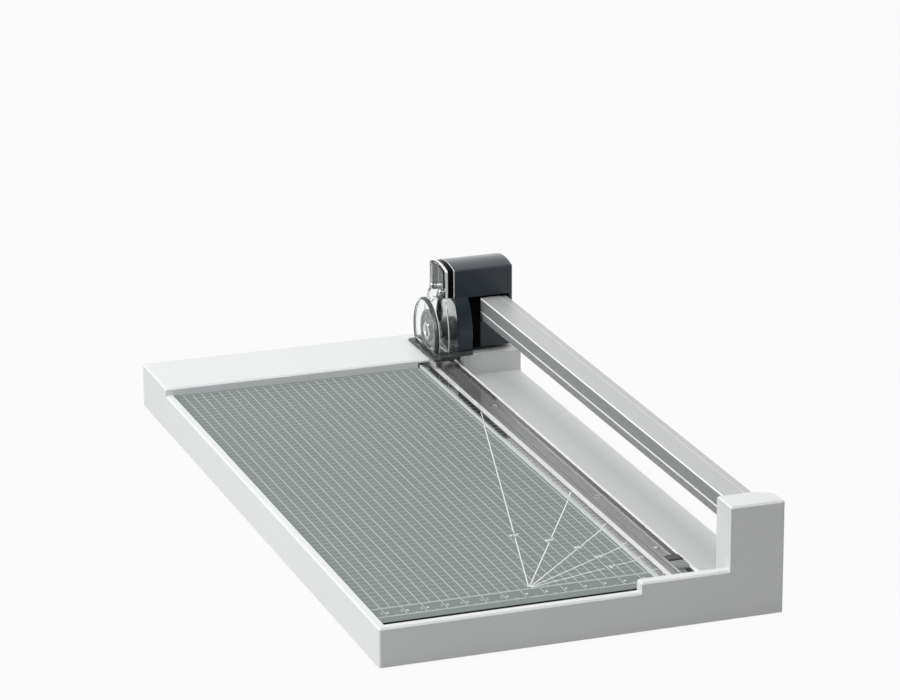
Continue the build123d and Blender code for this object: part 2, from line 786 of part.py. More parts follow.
# Plain bearings between the housing and the rail, each with a wiper plate let into the housing's end
liners = {
    "slide_liner_front": (head_front + liner_recess, head_front),
    "slide_liner_rear": (head_back - liner_recess - liner_length, head_back - liner_recess),
}
for liner_name, (liner_start, wiper_start) in liners.items():
    with BuildPart() as slide_liner:
        with BuildSketch(end_plane(liner_start)):
            with Locations((rail_x, rail_z)):
                Rectangle(rail_width + 2 * liner_margin, rail_height + 2 * liner_margin)
                Rectangle(rail_width + 2 * slide_gap, rail_height + 2 * slide_gap, mode=Mode.SUBTRACT)
        extrude(amount=-liner_length)
        with BuildSketch(end_plane(wiper_start)):
            patch(guard_right + liner_fit, rail_left - slide_gap, head_bottom, wiper_top)
        extrude(amount=-liner_recess)
    finish(slide_liner, liner_name)

# Arched guard round the blade, open to the left and below
with BuildPart() as blade_guard:
    with BuildSketch(side_plane(guard_left)):
        make_face(bulge_outline(guard_top, 0))
    extrude(amount=guard_right - guard_left)
    outer_rim = blade_guard.faces().sort_by(Axis.X)[-1].edges().filter_by(GeomType.CIRCLE)
    chamfer(outer_rim, guard_edge)
    with BuildSketch(side_plane(guard_left)):
        make_face(bulge_outline(guard_top - guard_wall, guard_wall))
    extrude(amount=guard_inner - guard_left, mode=Mode.SUBTRACT)
    with BuildSketch(side_plane(guard_inner)):
        with Locations((axle_y, axle_z)):
            Circle(axle_thread_radius + screw_fit)
    extrude(amount=guard_side_wall, mode=Mode.SUBTRACT)
    with BuildSketch(side_plane(guard_right - nut_height)):
        with Locations((axle_y, axle_z)):
            RegularPolygon(nut_width / 2 + nut_fit, 6, major_radius=False)
    extrude(amount=nut_height, mode=Mode.SUBTRACT)
    flat_screws(guard_screw_places, *tiny_screw, guard_side_wall, screw_fit, Mode.SUBTRACT)
    with BuildSketch(Plane.XY.offset(skid_top)):
        with Locations(*skid_screw_spots):
            pin(tiny_screw_radius + screw_fit)
    extrude(amount=skid_screw_grip, mode=Mode.SUBTRACT)
finish(blade_guard, "blade_guard")

# Clear cover: a round drum in front of a shell that follows the guard and the housing
with BuildPart() as blade_cover:
    with BuildSketch(side_plane(cover_left)):
        make_face(bulge_outline(guard_top, 0))
        make_face(head_outline(axle_z, 0))
    extrude(amount=guard_left - cover_left)
    box_rim = blade_cover.faces().sort_by(Axis.X)[0].edges()
    chamfer(box_rim.filter_by(lambda e: e.center().Z > guard_top + level_slack), cover_bevel)
    with BuildSketch(side_plane(drum_left)):
        with Locations((axle_y, axle_z)):
            Circle(drum_radius)
    extrude(amount=cover_left - drum_left)
    with BuildSketch(Plane.XY.offset(skid_top)):
        patch(drum_left, guard_left, axle_y - drum_radius, axle_y + drum_radius)
    extrude(amount=-drum_radius, mode=Mode.SUBTRACT)
    drum_rim = blade_cover.faces().sort_by(Axis.X)[0].edges().filter_by(GeomType.CIRCLE)
    chamfer(drum_rim, drum_bevel)
    with BuildSketch(side_plane(cover_left + cover_wall)):
        make_face(bulge_outline(guard_top, cover_wall))
        make_face(head_outline(axle_z, cover_wall))
    extrude(amount=guard_left - cover_left - cover_wall, mode=Mode.SUBTRACT)
    with BuildSketch(side_plane(drum_left + cover_wall)):
        with Locations((axle_y, axle_z)):
            Circle(drum_radius - cover_wall)
    extrude(amount=cover_left - drum_left, mode=Mode.SUBTRACT)
    with BuildSketch(side_plane(cover_left)):
        with Locations(*cover_screw_spots):
            Circle(cover_boss_radius)
    extrude(amount=guard_left - cover_left)
    with BuildSketch(side_plane(cover_left)):
        with Locations(*cover_screw_spots):
            pin(tiny_screw_radius + screw_fit)
    extrude(amount=guard_left - cover_left, mode=Mode.SUBTRACT)
    with BuildSketch(side_plane(seal_left)):
        make_face(head_outline(guard_top, 0))
        make_face(head_outline(guard_top, seal_depth), mode=Mode.SUBTRACT)
    extrude(amount=seal_width, mode=Mode.SUBTRACT)
finish(blade_cover, "blade_cover")

# Black band in a groove round the clear box, beside the housing
with BuildPart() as cover_seal:
    with BuildSketch(side_plane(seal_left + seal_fit)):
        make_face(head_outline(guard_top, seal_sink))
        make_face(head_outline(guard_top, seal_depth - seal_fit), mode=Mode.SUBTRACT)
    extrude(amount=seal_width - 2 * seal_fit)
finish(cover_seal, "cover_seal")

# Foot under the cover and the guard: ramped at both ends, stepped back at the right, open under the blade
with BuildPart() as foot_skid:
    with BuildSketch(Plane.XY.offset(skid_bottom)):
        with Locations(((skid_left + skid_right) / 2, (skid_front + skid_rear) / 2)):
            RectangleRounded(skid_right - skid_left, skid_rear - skid_front, skid_round)
        patch(skid_slot_left, skid_toe_right, skid_front + skid_step, skid_toe_back)
        with Locations(((skid_slot_left + skid_toe_right) / 2, skid_front + skid_step / 2)):
            Rectangle(skid_toe_right - skid_slot_left, skid_step, mode=Mode.SUBTRACT)
    extrude(amount=skid_thickness)
    ramp_edges = foot_skid.faces().sort_by(Axis.Z)[0].edges().filter_by(Axis.X)
    chamfer(ramp_edges.filter_by(lambda e: abs(e.center().Y - skid_toe_back) > level_slack), skid_ramp)
    with BuildSketch(Plane.XY.offset(skid_bottom)):
        patch(
            drum_left + cover_wall + skid_window_rim,
            guard_inner,
            axle_y - skid_slot_half,
            axle_y + skid_slot_half,
        )
    extrude(amount=skid_thickness, mode=Mode.SUBTRACT)
    flat_screws(skid_screw_places, *tiny_screw, skid_thickness, screw_fit, Mode.SUBTRACT)
finish(foot_skid, "foot_skid")

# Round blade, ground on the side away from the bed
with BuildPart() as rotary_blade:
    with BuildSketch(end_plane(axle_y)):
        make_face(turned([
            (blade_left, blade_bore_radius),
            (blade_left, blade_radius),
            (blade_left + blade_edge, blade_radius),
            (blade_right, blade_radius - blade_bevel_width),
            (blade_right, blade_bore_radius),
        ]))
    revolve(axis=axle_axis)
finish(rotary_blade, "rotary_blade")

# Hub that carries the blade on a spigot and runs on the axle
with BuildPart() as blade_hub:
    with BuildSketch(end_plane(axle_y)):
        make_face(turned([
            (hub_left, axle_radius + running_gap),
            (hub_left, hub_radius),
            (blade_left - hub_flange, hub_radius),
            (blade_left - hub_flange, hub_flange_radius),
            (blade_left, hub_flange_radius),
            (blade_left, blade_bore_radius - screw_fit),
            (blade_right, blade_bore_radius - screw_fit),
            (blade_right, axle_radius + running_gap),
        ]))
    revolve(axis=axle_axis)
finish(blade_hub, "blade_hub")

# Axle: slotted head, plain shank, thinner threaded end in the guard
with BuildPart() as blade_axle:
    with BuildSketch(end_plane(axle_y)):
        make_face(turned([
            (axle_left, 0),
            (axle_left, axle_head_radius),
            (washer_left, axle_head_radius),
            (washer_left, axle_radius),
            (guard_inner, axle_radius),
            (guard_inner, axle_thread_radius),
            (guard_right, axle_thread_radius),
            (guard_right, 0),
        ]))
    revolve(axis=axle_axis)
    with BuildSketch(side_plane(axle_left)):
        with Locations((axle_y, axle_z)):
            Rectangle(axle_slot, 2 * axle_head_radius)
    extrude(amount=axle_slot_depth, mode=Mode.SUBTRACT)
finish(blade_axle, "blade_axle")

with BuildPart() as axle_nut:
    with BuildSketch(side_plane(guard_right - nut_height)):
        with Locations((axle_y, axle_z)):
            RegularPolygon(nut_width / 2, 6, major_radius=False)
            Circle(axle_thread_radius + screw_fit, mode=Mode.SUBTRACT)
    extrude(amount=nut_height)
finish(axle_nut, "axle_nut")

with BuildPart() as thrust_washer:
    with BuildSketch(side_plane(washer_left)):
        with Locations((axle_y, axle_z)):
            Circle(washer_radius)
            Circle(axle_radius + running_gap, mode=Mode.SUBTRACT)
    extrude(amount=washer_thickness)
finish(thrust_washer, "thrust_washer")

# Dished spring that presses the blade towards the bed
with BuildPart() as disc_spring:
    with BuildSketch(end_plane(axle_y)):
        make_face(turned([
            (blade_right + side_gap, axle_radius + running_gap),
            (guard_inner - disc_spring_thickness, disc_spring_radius),
            (guard_inner, disc_spring_radius),
            (blade_right + side_gap + disc_spring_thickness, axle_radius + running_gap),
        ]))
    revolve(axis=axle_axis)
finish(disc_spring, "disc_spring")

# Small screws of the head
with BuildPart() as cover_screws:
    with BuildSketch(side_plane(cover_left)):
        with Locations(*cover_screw_spots):
            pin(tiny_screw_radius)
    extrude(amount=head_left + cover_screw_grip - cover_left)
    with BuildSketch(side_plane(cover_left)):
        with Locations(*cover_screw_spots):
            pin(tiny_head_radius)
    extrude(amount=-tiny_head_height)
finish(cover_screws, "cover_screws")

with BuildPart() as guard_screws:
    flat_screws(guard_screw_places, *tiny_screw, guard_side_wall + guard_screw_grip, 0, Mode.ADD)
finish(guard_screws, "guard_screws")

with BuildPart() as skid_screws:
    flat_screws(skid_screw_places, *tiny_screw, skid_thickness + skid_screw_grip, 0, Mode.ADD)
finish(skid_screws, "skid_screws")
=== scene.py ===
"""Finishes, bed print, screws, small pieces and studio of a rotary paper trimmer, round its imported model.

Metres. +X points to the offcut side, +Y to the fence and +Z up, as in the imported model.
"""

import logging
from collections.abc import Callable, Iterable, Mapping
from dataclasses import dataclass, replace
from enum import Enum
from functools import partial
from math import cos, radians, sin

import bpy
import numpy as np
from bpy.types import Material, Node, NodeSocket as Socket, NodeTree, Object
from mathutils import Matrix, Vector


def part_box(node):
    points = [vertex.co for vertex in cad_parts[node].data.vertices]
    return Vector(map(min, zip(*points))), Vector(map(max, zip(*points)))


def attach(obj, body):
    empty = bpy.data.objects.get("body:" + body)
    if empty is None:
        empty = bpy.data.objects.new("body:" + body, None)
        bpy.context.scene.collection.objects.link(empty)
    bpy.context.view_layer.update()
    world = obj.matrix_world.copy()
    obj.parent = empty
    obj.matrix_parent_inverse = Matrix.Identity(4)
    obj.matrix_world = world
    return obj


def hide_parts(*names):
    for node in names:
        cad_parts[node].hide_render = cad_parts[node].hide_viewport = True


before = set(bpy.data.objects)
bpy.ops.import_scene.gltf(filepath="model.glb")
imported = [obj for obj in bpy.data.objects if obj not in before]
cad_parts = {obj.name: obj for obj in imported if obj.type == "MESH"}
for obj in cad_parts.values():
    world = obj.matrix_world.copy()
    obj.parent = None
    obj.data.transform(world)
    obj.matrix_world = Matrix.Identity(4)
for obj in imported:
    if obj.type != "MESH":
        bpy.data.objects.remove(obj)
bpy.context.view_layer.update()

MM = 0.001
TURN = 2 * np.pi
UNIT = (0.0, 1.0)
AXES = "XYZ"
REACHES = tuple(f"Reach {axis}" for axis in AXES)
FLAT_RISE = 0.5
SHARP_EDGE = radians(35)
BLOTCH_RANGE = (0.35, 0.65)
STREAK_RANGE = (0.3, 0.7)
SMUDGE_RANGE = (0.5, 0.7)
SMUDGE_FINENESS = 5.0
LETTER_STEPS = 2
RIGHT_ANGLE = 90
TINY = 1e-6
LOG = logging.getLogger("paper_trimmer")
Triple = tuple[float, float, float]
Array = np.ndarray
Surface = tuple[Array, list]
Sockets = Mapping[str, Socket]
Value = float | Socket
Tint = Triple | Socket


class Body(Enum):
    """The bodies that the pieces ride on."""

    BASE = "base"
    CLAMP = "paper_clamp"
    HEAD = "cutter_head"


class Slot(Enum):
    """Names of the record's material slots, handed to mount with each new piece."""

    PRINT = "mat_grey"
    SCREW = "screw_steel"
    CLEAR = "clear_plastic"
    DARK = "dark_plastic"
    WHITE = "white_plastic"


class Wiring:
    """Adds the nodes of one node tree and links them."""

    def __init__(self, tree: NodeTree) -> None:
        """Keeps the tree."""
        self.tree = tree

    def feed(self, node: Node, inputs: dict) -> None:
        """Sets or links some of a node's inputs.

        Args:
            node: the node.
            inputs: for each input, by name or number, a plain value or the output socket to link.
        """
        for key, value in inputs.items():
            if isinstance(value, Socket):
                self.tree.links.new(value, node.inputs[key])
            else:
                node.inputs[key].default_value = value

    def add(self, kind: str, inputs: dict | None = None, **attributes: object) -> Node:
        """Adds a node, sets its attributes, and sets or links its inputs.

        Args:
            kind: the node's type name.
            inputs: values and sockets for its inputs, as feed takes them.
            attributes: the node's own settings.

        Returns:
            The new node.
        """
        node = self.tree.nodes.new(kind)
        for name, value in attributes.items():
            setattr(node, name, value)
        self.feed(node, inputs or {})
        return node

    def math(self, operation: str, *values: Value) -> Socket:
        """Adds a Math node and returns its output."""
        return self.add("ShaderNodeMath", dict(enumerate(values)), operation=operation).outputs[0]

    def per(self, size: Socket) -> Socket:
        """Returns one over a size, which is the scale of a texture."""
        return self.math("DIVIDE", 1.0, size)

    def remap(self, value: Socket, old: tuple, new: tuple = UNIT) -> Socket:
        """Returns a value carried from one range to another, clamped at both ends."""
        return self.add("ShaderNodeMapRange", dict(enumerate((value, *old, *new)))).outputs[0]

    def mix(self, factor: Socket, low: Value, high: Value) -> Socket:
        """Returns a number between two, each a plain number or a socket."""
        return self.add("ShaderNodeMix", {"Factor": factor, 2: low, 3: high}, data_type="FLOAT").outputs[0]

    def blend(self, factor: Socket, low: Tint, high: Tint) -> Socket:
        """Returns a colour between two, each a plain colour or a socket."""
        low, high = ((*end, 1.0) if isinstance(end, tuple) else end for end in (low, high))
        return self.add("ShaderNodeMix", {"Factor": factor, 6: low, 7: high}, data_type="RGBA").outputs[2]

    def noise(self, point: Socket, scale: Value, detail: float) -> Socket:
        """Returns noise about a half at a point."""
        return self.add("ShaderNodeTexNoise", {"Vector": point, "Scale": scale, "Detail": detail}).outputs[0]

    def place(self) -> Socket:
        """Returns the surface point in Object coordinates."""
        return self.add("ShaderNodeTexCoord").outputs["Object"]

    def parts(self, vector: Socket) -> Sockets:
        """Returns a vector's X, Y and Z."""
        return self.add("ShaderNodeSeparateXYZ", {0: vector}).outputs

    def upright(self) -> Socket:
        """Returns 1 on faces that stand upright and 0 on those that lie flat."""
        normal = self.add("ShaderNodeNewGeometry").outputs["True Normal"]
        return self.math("LESS_THAN", self.math("ABSOLUTE", self.parts(normal)["Z"]), FLAT_RISE)

    def mix_surface(self, factor: Socket, first: Node, second: Node) -> None:
        """Shows a mix of two shaders on the material's surface."""
        mixed = self.add("ShaderNodeMixShader", {0: factor, 1: first.outputs[0], 2: second.outputs[0]})
        self.feed(self.tree.nodes["Material Output"], {"Surface": mixed.outputs[0]})


class Effect(Enum):
    """Surface effects that several finishes share: each node group's name, inputs and outputs."""

    SKIN = ("moulded_skin", ("Grain Size", "Blotch Size"), ("Height", "Blotch"))
    BRUSHING = ("brushed_lines", ("Line Width", "Line Length"), ("Streak",))
    SMUDGES = ("handling_smudges", ("Size",), ("Mask",))
    PATCH = ("box_patch", (*AXES, *REACHES), ("Mask",))

    def tree(self) -> NodeTree:
        """Finds the effect's node group, or builds it the first time.

        Returns:
            The group, whose sockets are all plain values.
        """
        name, inputs, outputs = self.value
        tree = bpy.data.node_groups.get(name)
        if tree is None:
            tree = bpy.data.node_groups.new(name, "ShaderNodeTree")
            for in_out, names in (("INPUT", inputs), ("OUTPUT", outputs)):
                for socket in names:
                    tree.interface.new_socket(socket, in_out=in_out, socket_type="NodeSocketFloat")
            wire = Wiring(tree)
            values = wire.add("NodeGroupInput").outputs
            wire.add("NodeGroupOutput", EFFECT_BUILDERS[self](wire, values))
        return tree

    def outputs(self, wire: Wiring, inputs: dict) -> Sockets:
        """Places the effect in a material with its own values and returns its outputs."""
        return wire.add("ShaderNodeGroup", inputs, node_tree=self.tree()).outputs


def build_skin(wire: Wiring, values: Sockets) -> Sockets:
    """Builds the skin of a moulding: fine grain of one size and soft blotches of another.

    Args:
        wire: the wiring of the group.
        values: the group's inputs.

    Returns:
        The grain's height and the blotches' mask.
    """
    point = wire.place()
    grain = wire.noise(point, wire.per(values["Grain Size"]), 2.0)
    blotch = wire.noise(point, wire.per(values["Blotch Size"]), 3.0)
    return {"Height": grain, "Blotch": wire.remap(blotch, BLOTCH_RANGE)}


def build_brushing(wire: Wiring, values: Sockets) -> Sockets:
    """Builds fine lines along Y: noise drawn out to the line's length.

    Args:
        wire: the wiring of the group.
        values: the group's inputs.

    Returns:
        The streaks, which serve as height and as mask.
    """
    across, along = wire.per(values["Line Width"]), wire.per(values["Line Length"])
    scale = wire.add("ShaderNodeCombineXYZ", {"X": across, "Y": along, "Z": across}).outputs[0]
    drawn = wire.add("ShaderNodeVectorMath", {0: wire.place(), 1: scale}, operation="MULTIPLY").outputs[0]
    return {"Streak": wire.remap(wire.noise(drawn, 1.0, 4.0), STREAK_RANGE)}


def build_smudges(wire: Wiring, values: Sockets) -> Sockets:
    """Builds faint marks of handling: a coarse noise that lets a finer one through.

    Args:
        wire: the wiring of the group.
        values: the group's inputs.

    Returns:
        The marks' mask.
    """
    point, scale = wire.place(), wire.per(values["Size"])
    coarse = wire.noise(point, scale, 2.0)
    fine = wire.noise(point, wire.math("MULTIPLY", scale, SMUDGE_FINENESS), 4.0)
    return {"Mask": wire.math("MULTIPLY", wire.remap(coarse, SMUDGE_RANGE), fine)}


def build_patch(wire: Wiring, values: Sockets) -> Sockets:
    """Builds a box-shaped patch: 1 where x, y and z are each within a reach of the patch's middle.

    Args:
        wire: the wiring of the group.
        values: the group's inputs.

    Returns:
        The patch's mask.
    """
    point = wire.parts(wire.place())
    near = [wire.math("COMPARE", point[a], values[a], values[reach]) for a, reach in zip(AXES, REACHES)]
    return {"Mask": wire.math("MINIMUM", wire.math("MINIMUM", *near[:2]), near[2])}


EFFECT_BUILDERS: dict[Effect, Callable[[Wiring, Sockets], Sockets]] = {
    Effect.SKIN: build_skin,
    Effect.BRUSHING: build_brushing,
    Effect.SMUDGES: build_smudges,
    Effect.PATCH: build_patch,
}


def new_material(name: str) -> tuple[Material, Wiring, Node]:
    """Makes a material with one Principled shader.

    Args:
        name: the material's name.

    Returns:
        The material, the wiring of its tree and the Principled node.
    """
    material = bpy.data.materials.new(name)
    material.use_nodes = True
    tree = material.node_tree
    return material, Wiring(tree), tree.nodes["Principled BSDF"]


def shade(color: Triple, factor: float) -> Triple:
    """Returns a colour made lighter or darker by a factor."""
    return tuple(min(1.0, part * factor) for part in color)


@dataclass(frozen=True)
class Patch:
    """A box-shaped part of a surface: its middle, and how far it reaches to each side."""

    middle: Triple
    reach: Triple

    def mask(self, wire: Wiring) -> Socket:
        """Returns 1 on the patch and 0 off it."""
        inputs = dict(zip((*AXES, *REACHES), (*self.middle, *self.reach)))
        return Effect.PATCH.outputs(wire, inputs)["Mask"]


@dataclass(frozen=True)
class Finish:
    """What opaque finishes share: tone and gloss that vary, relief, and places of another colour."""

    name: str
    color: Triple
    roughness: float
    relief: float = 0.004 * MM
    tone_spread: float = 0.03
    gloss_spread: float = 0.05
    side_color: Triple | None = None
    patch: Patch | None = None
    patch_color: Triple = (0.3, 0.3, 0.3)

    def tone(self, wire: Wiring, mask: Socket) -> Socket:
        """Works out the colour, which may be another one on upright faces and on the patch.

        Args:
            wire: the wiring of the material.
            mask: 0 where the colour is darkest and 1 where it is lightest.

        Returns:
            The colour.
        """
        low, high = (shade(self.color, 1 + side * self.tone_spread) for side in (-1, 1))
        tone = wire.blend(mask, low, high)
        if self.side_color:
            tone = wire.blend(wire.upright(), tone, self.side_color)
        if self.patch:
            tone = wire.blend(self.patch.mask(wire), tone, self.patch_color)
        return tone

    def gloss(self, wire: Wiring, mask: Socket) -> Socket:
        """Returns the roughness, which rises with a mask."""
        ends = (self.roughness - self.gloss_spread, self.roughness + self.gloss_spread)
        return wire.remap(mask, UNIT, ends)

    def bump(self, wire: Wiring, height: Socket) -> Socket:
        """Returns the normal of relief of a real depth, from a height between 0 and 1."""
        inputs = {"Height": height, "Strength": 1.0, "Distance": self.relief}
        return wire.add("ShaderNodeBump", inputs).outputs["Normal"]


@dataclass(frozen=True)
class Moulding(Finish):
    """Opaque moulded plastic or rubber with a fine skin and soft blotches in tone and gloss."""

    grain: float = 0.5 * MM
    blotch: float = 24 * MM
    shine: float = 0.5
    alpha: float = 1.0
    coat: float = 0.0
    coat_roughness: float = 0.2
    coat_index: float = 1.33

    def material(self) -> Material:
        """Builds the finish.

        Returns:
            It as a new material.
        """
        material, wire, shader = new_material(self.name)
        skin = Effect.SKIN.outputs(wire, {"Grain Size": self.grain, "Blotch Size": self.blotch})
        wire.feed(shader, {
            "Base Color": self.tone(wire, skin["Blotch"]),
            "Roughness": self.gloss(wire, skin["Blotch"]),
            "Normal": self.bump(wire, skin["Height"]),
            "Specular IOR Level": self.shine,
            "Alpha": self.alpha,
            "Coat Weight": self.coat,
            "Coat Roughness": self.coat_roughness,
            "Coat IOR": self.coat_index,
        })
        return material


@dataclass(frozen=True)
class DrawnMetal(Finish):
    """Metal with fine lines along its length, a little dirt in its gloss and painted highlights along its
    lips.
    """

    relief: float = 0.003 * MM
    tone_spread: float = 0.06
    gloss_spread: float = 0.08
    metallic: float = 1.0
    line_width: float = 0.12 * MM
    line_length: float = 30 * MM
    smudge: float = 18 * MM
    line_share: float = 0.6
    lips: tuple[Patch, ...] = ()
    lip_highlight_color: Triple = (0.95, 0.95, 0.95)
    lip_roughness: float = 0.3

    def material(self) -> Material:
        """Builds the finish. Its gloss follows the lines and, for the rest, the smudges.

        Returns:
            It as a new material.
        """
        material, wire, shader = new_material(self.name)
        lines = {"Line Width": self.line_width, "Line Length": self.line_length}
        streak = Effect.BRUSHING.outputs(wire, lines)["Streak"]
        smudge = Effect.SMUDGES.outputs(wire, {"Size": self.smudge})["Mask"]
        shares = ((streak, self.line_share), (smudge, 1 - self.line_share))
        gloss = self.gloss(wire, wire.math("ADD", *(wire.math("MULTIPLY", *share) for share in shares)))
        tone = self.tone(wire, streak)
        wire.feed(shader, {"Metallic": self.metallic, "Normal": self.bump(wire, streak)})
        # Painted highlights: on the lips the metal turns near-white, rougher and not metallic, where light
        # would glint off the edges.
        if self.lips:
            painted_highlight = self.lips[0].mask(wire)
            for other in self.lips[1:]:
                painted_highlight = wire.math("MAXIMUM", painted_highlight, other.mask(wire))
            tone = wire.blend(painted_highlight, tone, self.lip_highlight_color)
            gloss = wire.mix(painted_highlight, gloss, self.lip_roughness)
            wire.feed(shader, {"Metallic": wire.remap(painted_highlight, UNIT, (self.metallic, 0.0))})
        wire.feed(shader, {"Base Color": tone, "Roughness": gloss})
        return material


@dataclass(frozen=True)
class ClearPlastic:
    """Clear plastic that bends light, lets lamps through and carries faint finger marks."""

    name: str
    tint: Triple
    lamp_tint: Triple
    refraction: float = 1.49
    roughness: float = 0.015
    smudge_roughness: float = 0.07
    smudge: float = 9 * MM

    def material(self) -> Material:
        """Builds the finish.

        Returns:
            It as a new material.
        """
        material, wire, shader = new_material(self.name)
        marks = Effect.SMUDGES.outputs(wire, {"Size": self.smudge})["Mask"]
        wire.feed(shader, {
            "Base Color": (*self.tint, 1.0),
            "Roughness": wire.remap(marks, UNIT, (self.roughness, self.smudge_roughness)),
            "IOR": self.refraction,
            "Transmission Weight": 1.0,
        })
        lamp_ray = wire.add("ShaderNodeLightPath").outputs["Is Shadow Ray"]
        through = wire.add("ShaderNodeBsdfTransparent", {"Color": (*self.lamp_tint, 1.0)})
        wire.mix_surface(lamp_ray, shader, through)
        return material


RAIL_LOW, RAIL_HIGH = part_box("rail")
GUIDE_LOW, GUIDE_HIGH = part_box("clamp_guide_front")
BLADE_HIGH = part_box("counter_blade")[1]
MAT_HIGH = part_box("cutting_mat")[1]
ALL_ALONG = 1.0
LIP = 0.34 * MM
LIP_INSET = 0.2 * MM
RAIL_GROOVE_DROP = 7.8 * MM
RAIL_STRIP = 4.0 * MM
BLADE_LAND = 2.2 * MM
BLADE_DARK_REACH = 3.4 * MM
GRIP_LENGTH = 8.0 * MM
MAT_SHADE_REACH = 2.9 * MM


def long_patch(x: float, z: float, reach_x: float = LIP) -> Patch:
    """Returns a patch that runs along Y, for a painted highlight on a lip, a dark band on the blade or
    painted shade on the mat.
    """
    return Patch((x, 0.0, z), (reach_x, ALL_ALONG, LIP))


# Painted highlights along the rail: its top left edge, a line on its left side at the groove, and the step
# on its top.
RAIL_LIP_HIGHLIGHTS = (
    long_patch(RAIL_LOW.x + LIP_INSET, RAIL_HIGH.z - LIP_INSET),
    long_patch(RAIL_LOW.x + LIP_INSET, RAIL_HIGH.z - RAIL_GROOVE_DROP),
    long_patch(RAIL_HIGH.x - RAIL_STRIP, RAIL_HIGH.z - LIP_INSET),
)
# Painted highlight on the counter blade's land at its cutting edge; beside the land a dark band runs along
# the blade.
BLADE_LAND_HIGHLIGHT = (long_patch(BLADE_HIGH.x, BLADE_HIGH.z, BLADE_LAND),)
BLADE_BAND = long_patch(BLADE_HIGH.x - BLADE_LAND, BLADE_HIGH.z, BLADE_DARK_REACH)
# Painted shade: a near-black band along the mat's right edge, where the mat looks darker under the clear
# clamp.
MAT_SHADE_STRIP = long_patch(MAT_HIGH.x, MAT_HIGH.z, MAT_SHADE_REACH)
# Painted light: the front guide's ribbed grip is painted light grey as where light falls on its ribs.
GRIP = Patch((GUIDE_LOW.x, GUIDE_LOW.y, GUIDE_LOW.z), (ALL_ALONG, GRIP_LENGTH, ALL_ALONG))

WHITE_PLASTIC = Moulding("white_plastic_satin", (0.80, 0.81, 0.815), 0.42, tone_spread=0.012)
# The patch colour is the painted shade along the mat's right edge under the clamp.
MAT_PLASTIC = Moulding(
    "mat_grey_embossed", (0.212, 0.243, 0.237), 0.6, grain=0.35 * MM, relief=0.02 * MM, blotch=6 * MM,
    side_color=(0.012, 0.012, 0.013), shine=0.25, patch=MAT_SHADE_STRIP, patch_color=(0.012, 0.014, 0.014)
)
DARK_PLASTIC = Moulding(
    "dark_plastic_satin", (0.02, 0.03, 0.04), 0.42, relief=0.005 * MM, shine=0.2, coat=1.0
)
# Dark as the foot's own polished plastic, and partly painted shade for the shadowed gap under the drum.
SKID_PLASTIC_AND_SHADE = Moulding("skid_plastic_polished_and_painted_shade", (0.05, 0.055, 0.055), 0.3, relief=0.003 * MM, blotch=8 * MM)
HUB_PLASTIC = Moulding("hub_plastic_satin", (0.10, 0.105, 0.11), 0.3, relief=0.003 * MM, blotch=5 * MM)
# Black plastic for the cover's seal, and painted shade on the slide liners.
BLACK_PLASTIC_AND_SHADE = Moulding("black_plastic_gloss_and_painted_shade", (0.003, 0.003, 0.004), 0.2, relief=0.002 * MM, shine=0.02)
# Painted light and shade: the guides are dark as shade in their recess and under the head, and the grip is
# painted lighter as lit.
GUIDE_LIT_AND_SHADED = Moulding(
    "guide_plastic_painted_light_and_shade", (0.045, 0.046, 0.047), 0.35, blotch=4 * MM,
    patch=GRIP, patch_color=(0.42, 0.425, 0.425)
)
NYLON = Moulding("white_nylon_bearing", (0.72, 0.71, 0.67), 0.38, blotch=5 * MM)
RUBBER = Moulding("foot_rubber_matt", (0.035, 0.035, 0.036), 0.75, grain=0.25 * MM, relief=0.02 * MM)
INK = Moulding("white_print_ink", (0.88, 0.89, 0.87), 0.5, grain=0.15 * MM, blotch=3 * MM)
FINE_INK = replace(INK, name="pale_print_ink", color=(0.6, 0.62, 0.61))
# Painted highlights: pale skins on the clear clamp's left side, notch and upper bevel stand in for light
# glinting off its edges.
EDGE_HIGHLIGHT = Moulding("clear_plastic_painted_highlight_edge", (0.78, 0.80, 0.80), 0.55, grain=0.2 * MM, relief=0.01 * MM)
BEVEL_HIGHLIGHT = replace(EDGE_HIGHLIGHT, name="clear_plastic_painted_bevel_highlight", color=(0.74, 0.77, 0.76), roughness=0.5, alpha=0.6)
PLATE = Moulding("drum_plate_satin", (0.10, 0.106, 0.107), 0.2, relief=0.003 * MM, blotch=5 * MM)
# Painted reflection: a dark, partly see-through band round the drum's left end, where its wall would mirror
# dark surroundings.
DRUM_DARK_REFLECTION = Moulding(
    "drum_band_painted_dark_reflection", (0.05, 0.055, 0.055), 0.25, relief=0.002 * MM, blotch=5 * MM, alpha=0.85
)
# Painted highlights on the clear cover's rims.
RIM_HIGHLIGHT = Moulding("clear_plastic_painted_highlight_rim", (0.84, 0.85, 0.85), 0.2, grain=0.2 * MM, relief=0.002 * MM)
# The rail's upright faces are painted darker than its top as shade, and its lips carry painted highlights.
ALUMINIUM = DrawnMetal(
    "rail_aluminium_brushed", (0.55, 0.555, 0.56), 0.46, metallic=0.35, lips=RAIL_LIP_HIGHLIGHTS,
    side_color=(0.34, 0.345, 0.35)
)
COUNTER_STEEL = DrawnMetal(
    "counter_blade_ground", (0.33, 0.333, 0.337), 0.36, metallic=0.7, line_length=12 * MM, lips=BLADE_LAND_HIGHLIGHT,
    patch=BLADE_BAND, patch_color=(0.05, 0.05, 0.052)
)
BLADE_STEEL = DrawnMetal("round_blade_ground", (0.55, 0.555, 0.56), 0.25, line_length=12 * MM)
SCREW_STEEL = DrawnMetal("screw_steel_plated", (0.62, 0.62, 0.61), 0.24, line_length=1 * MM)
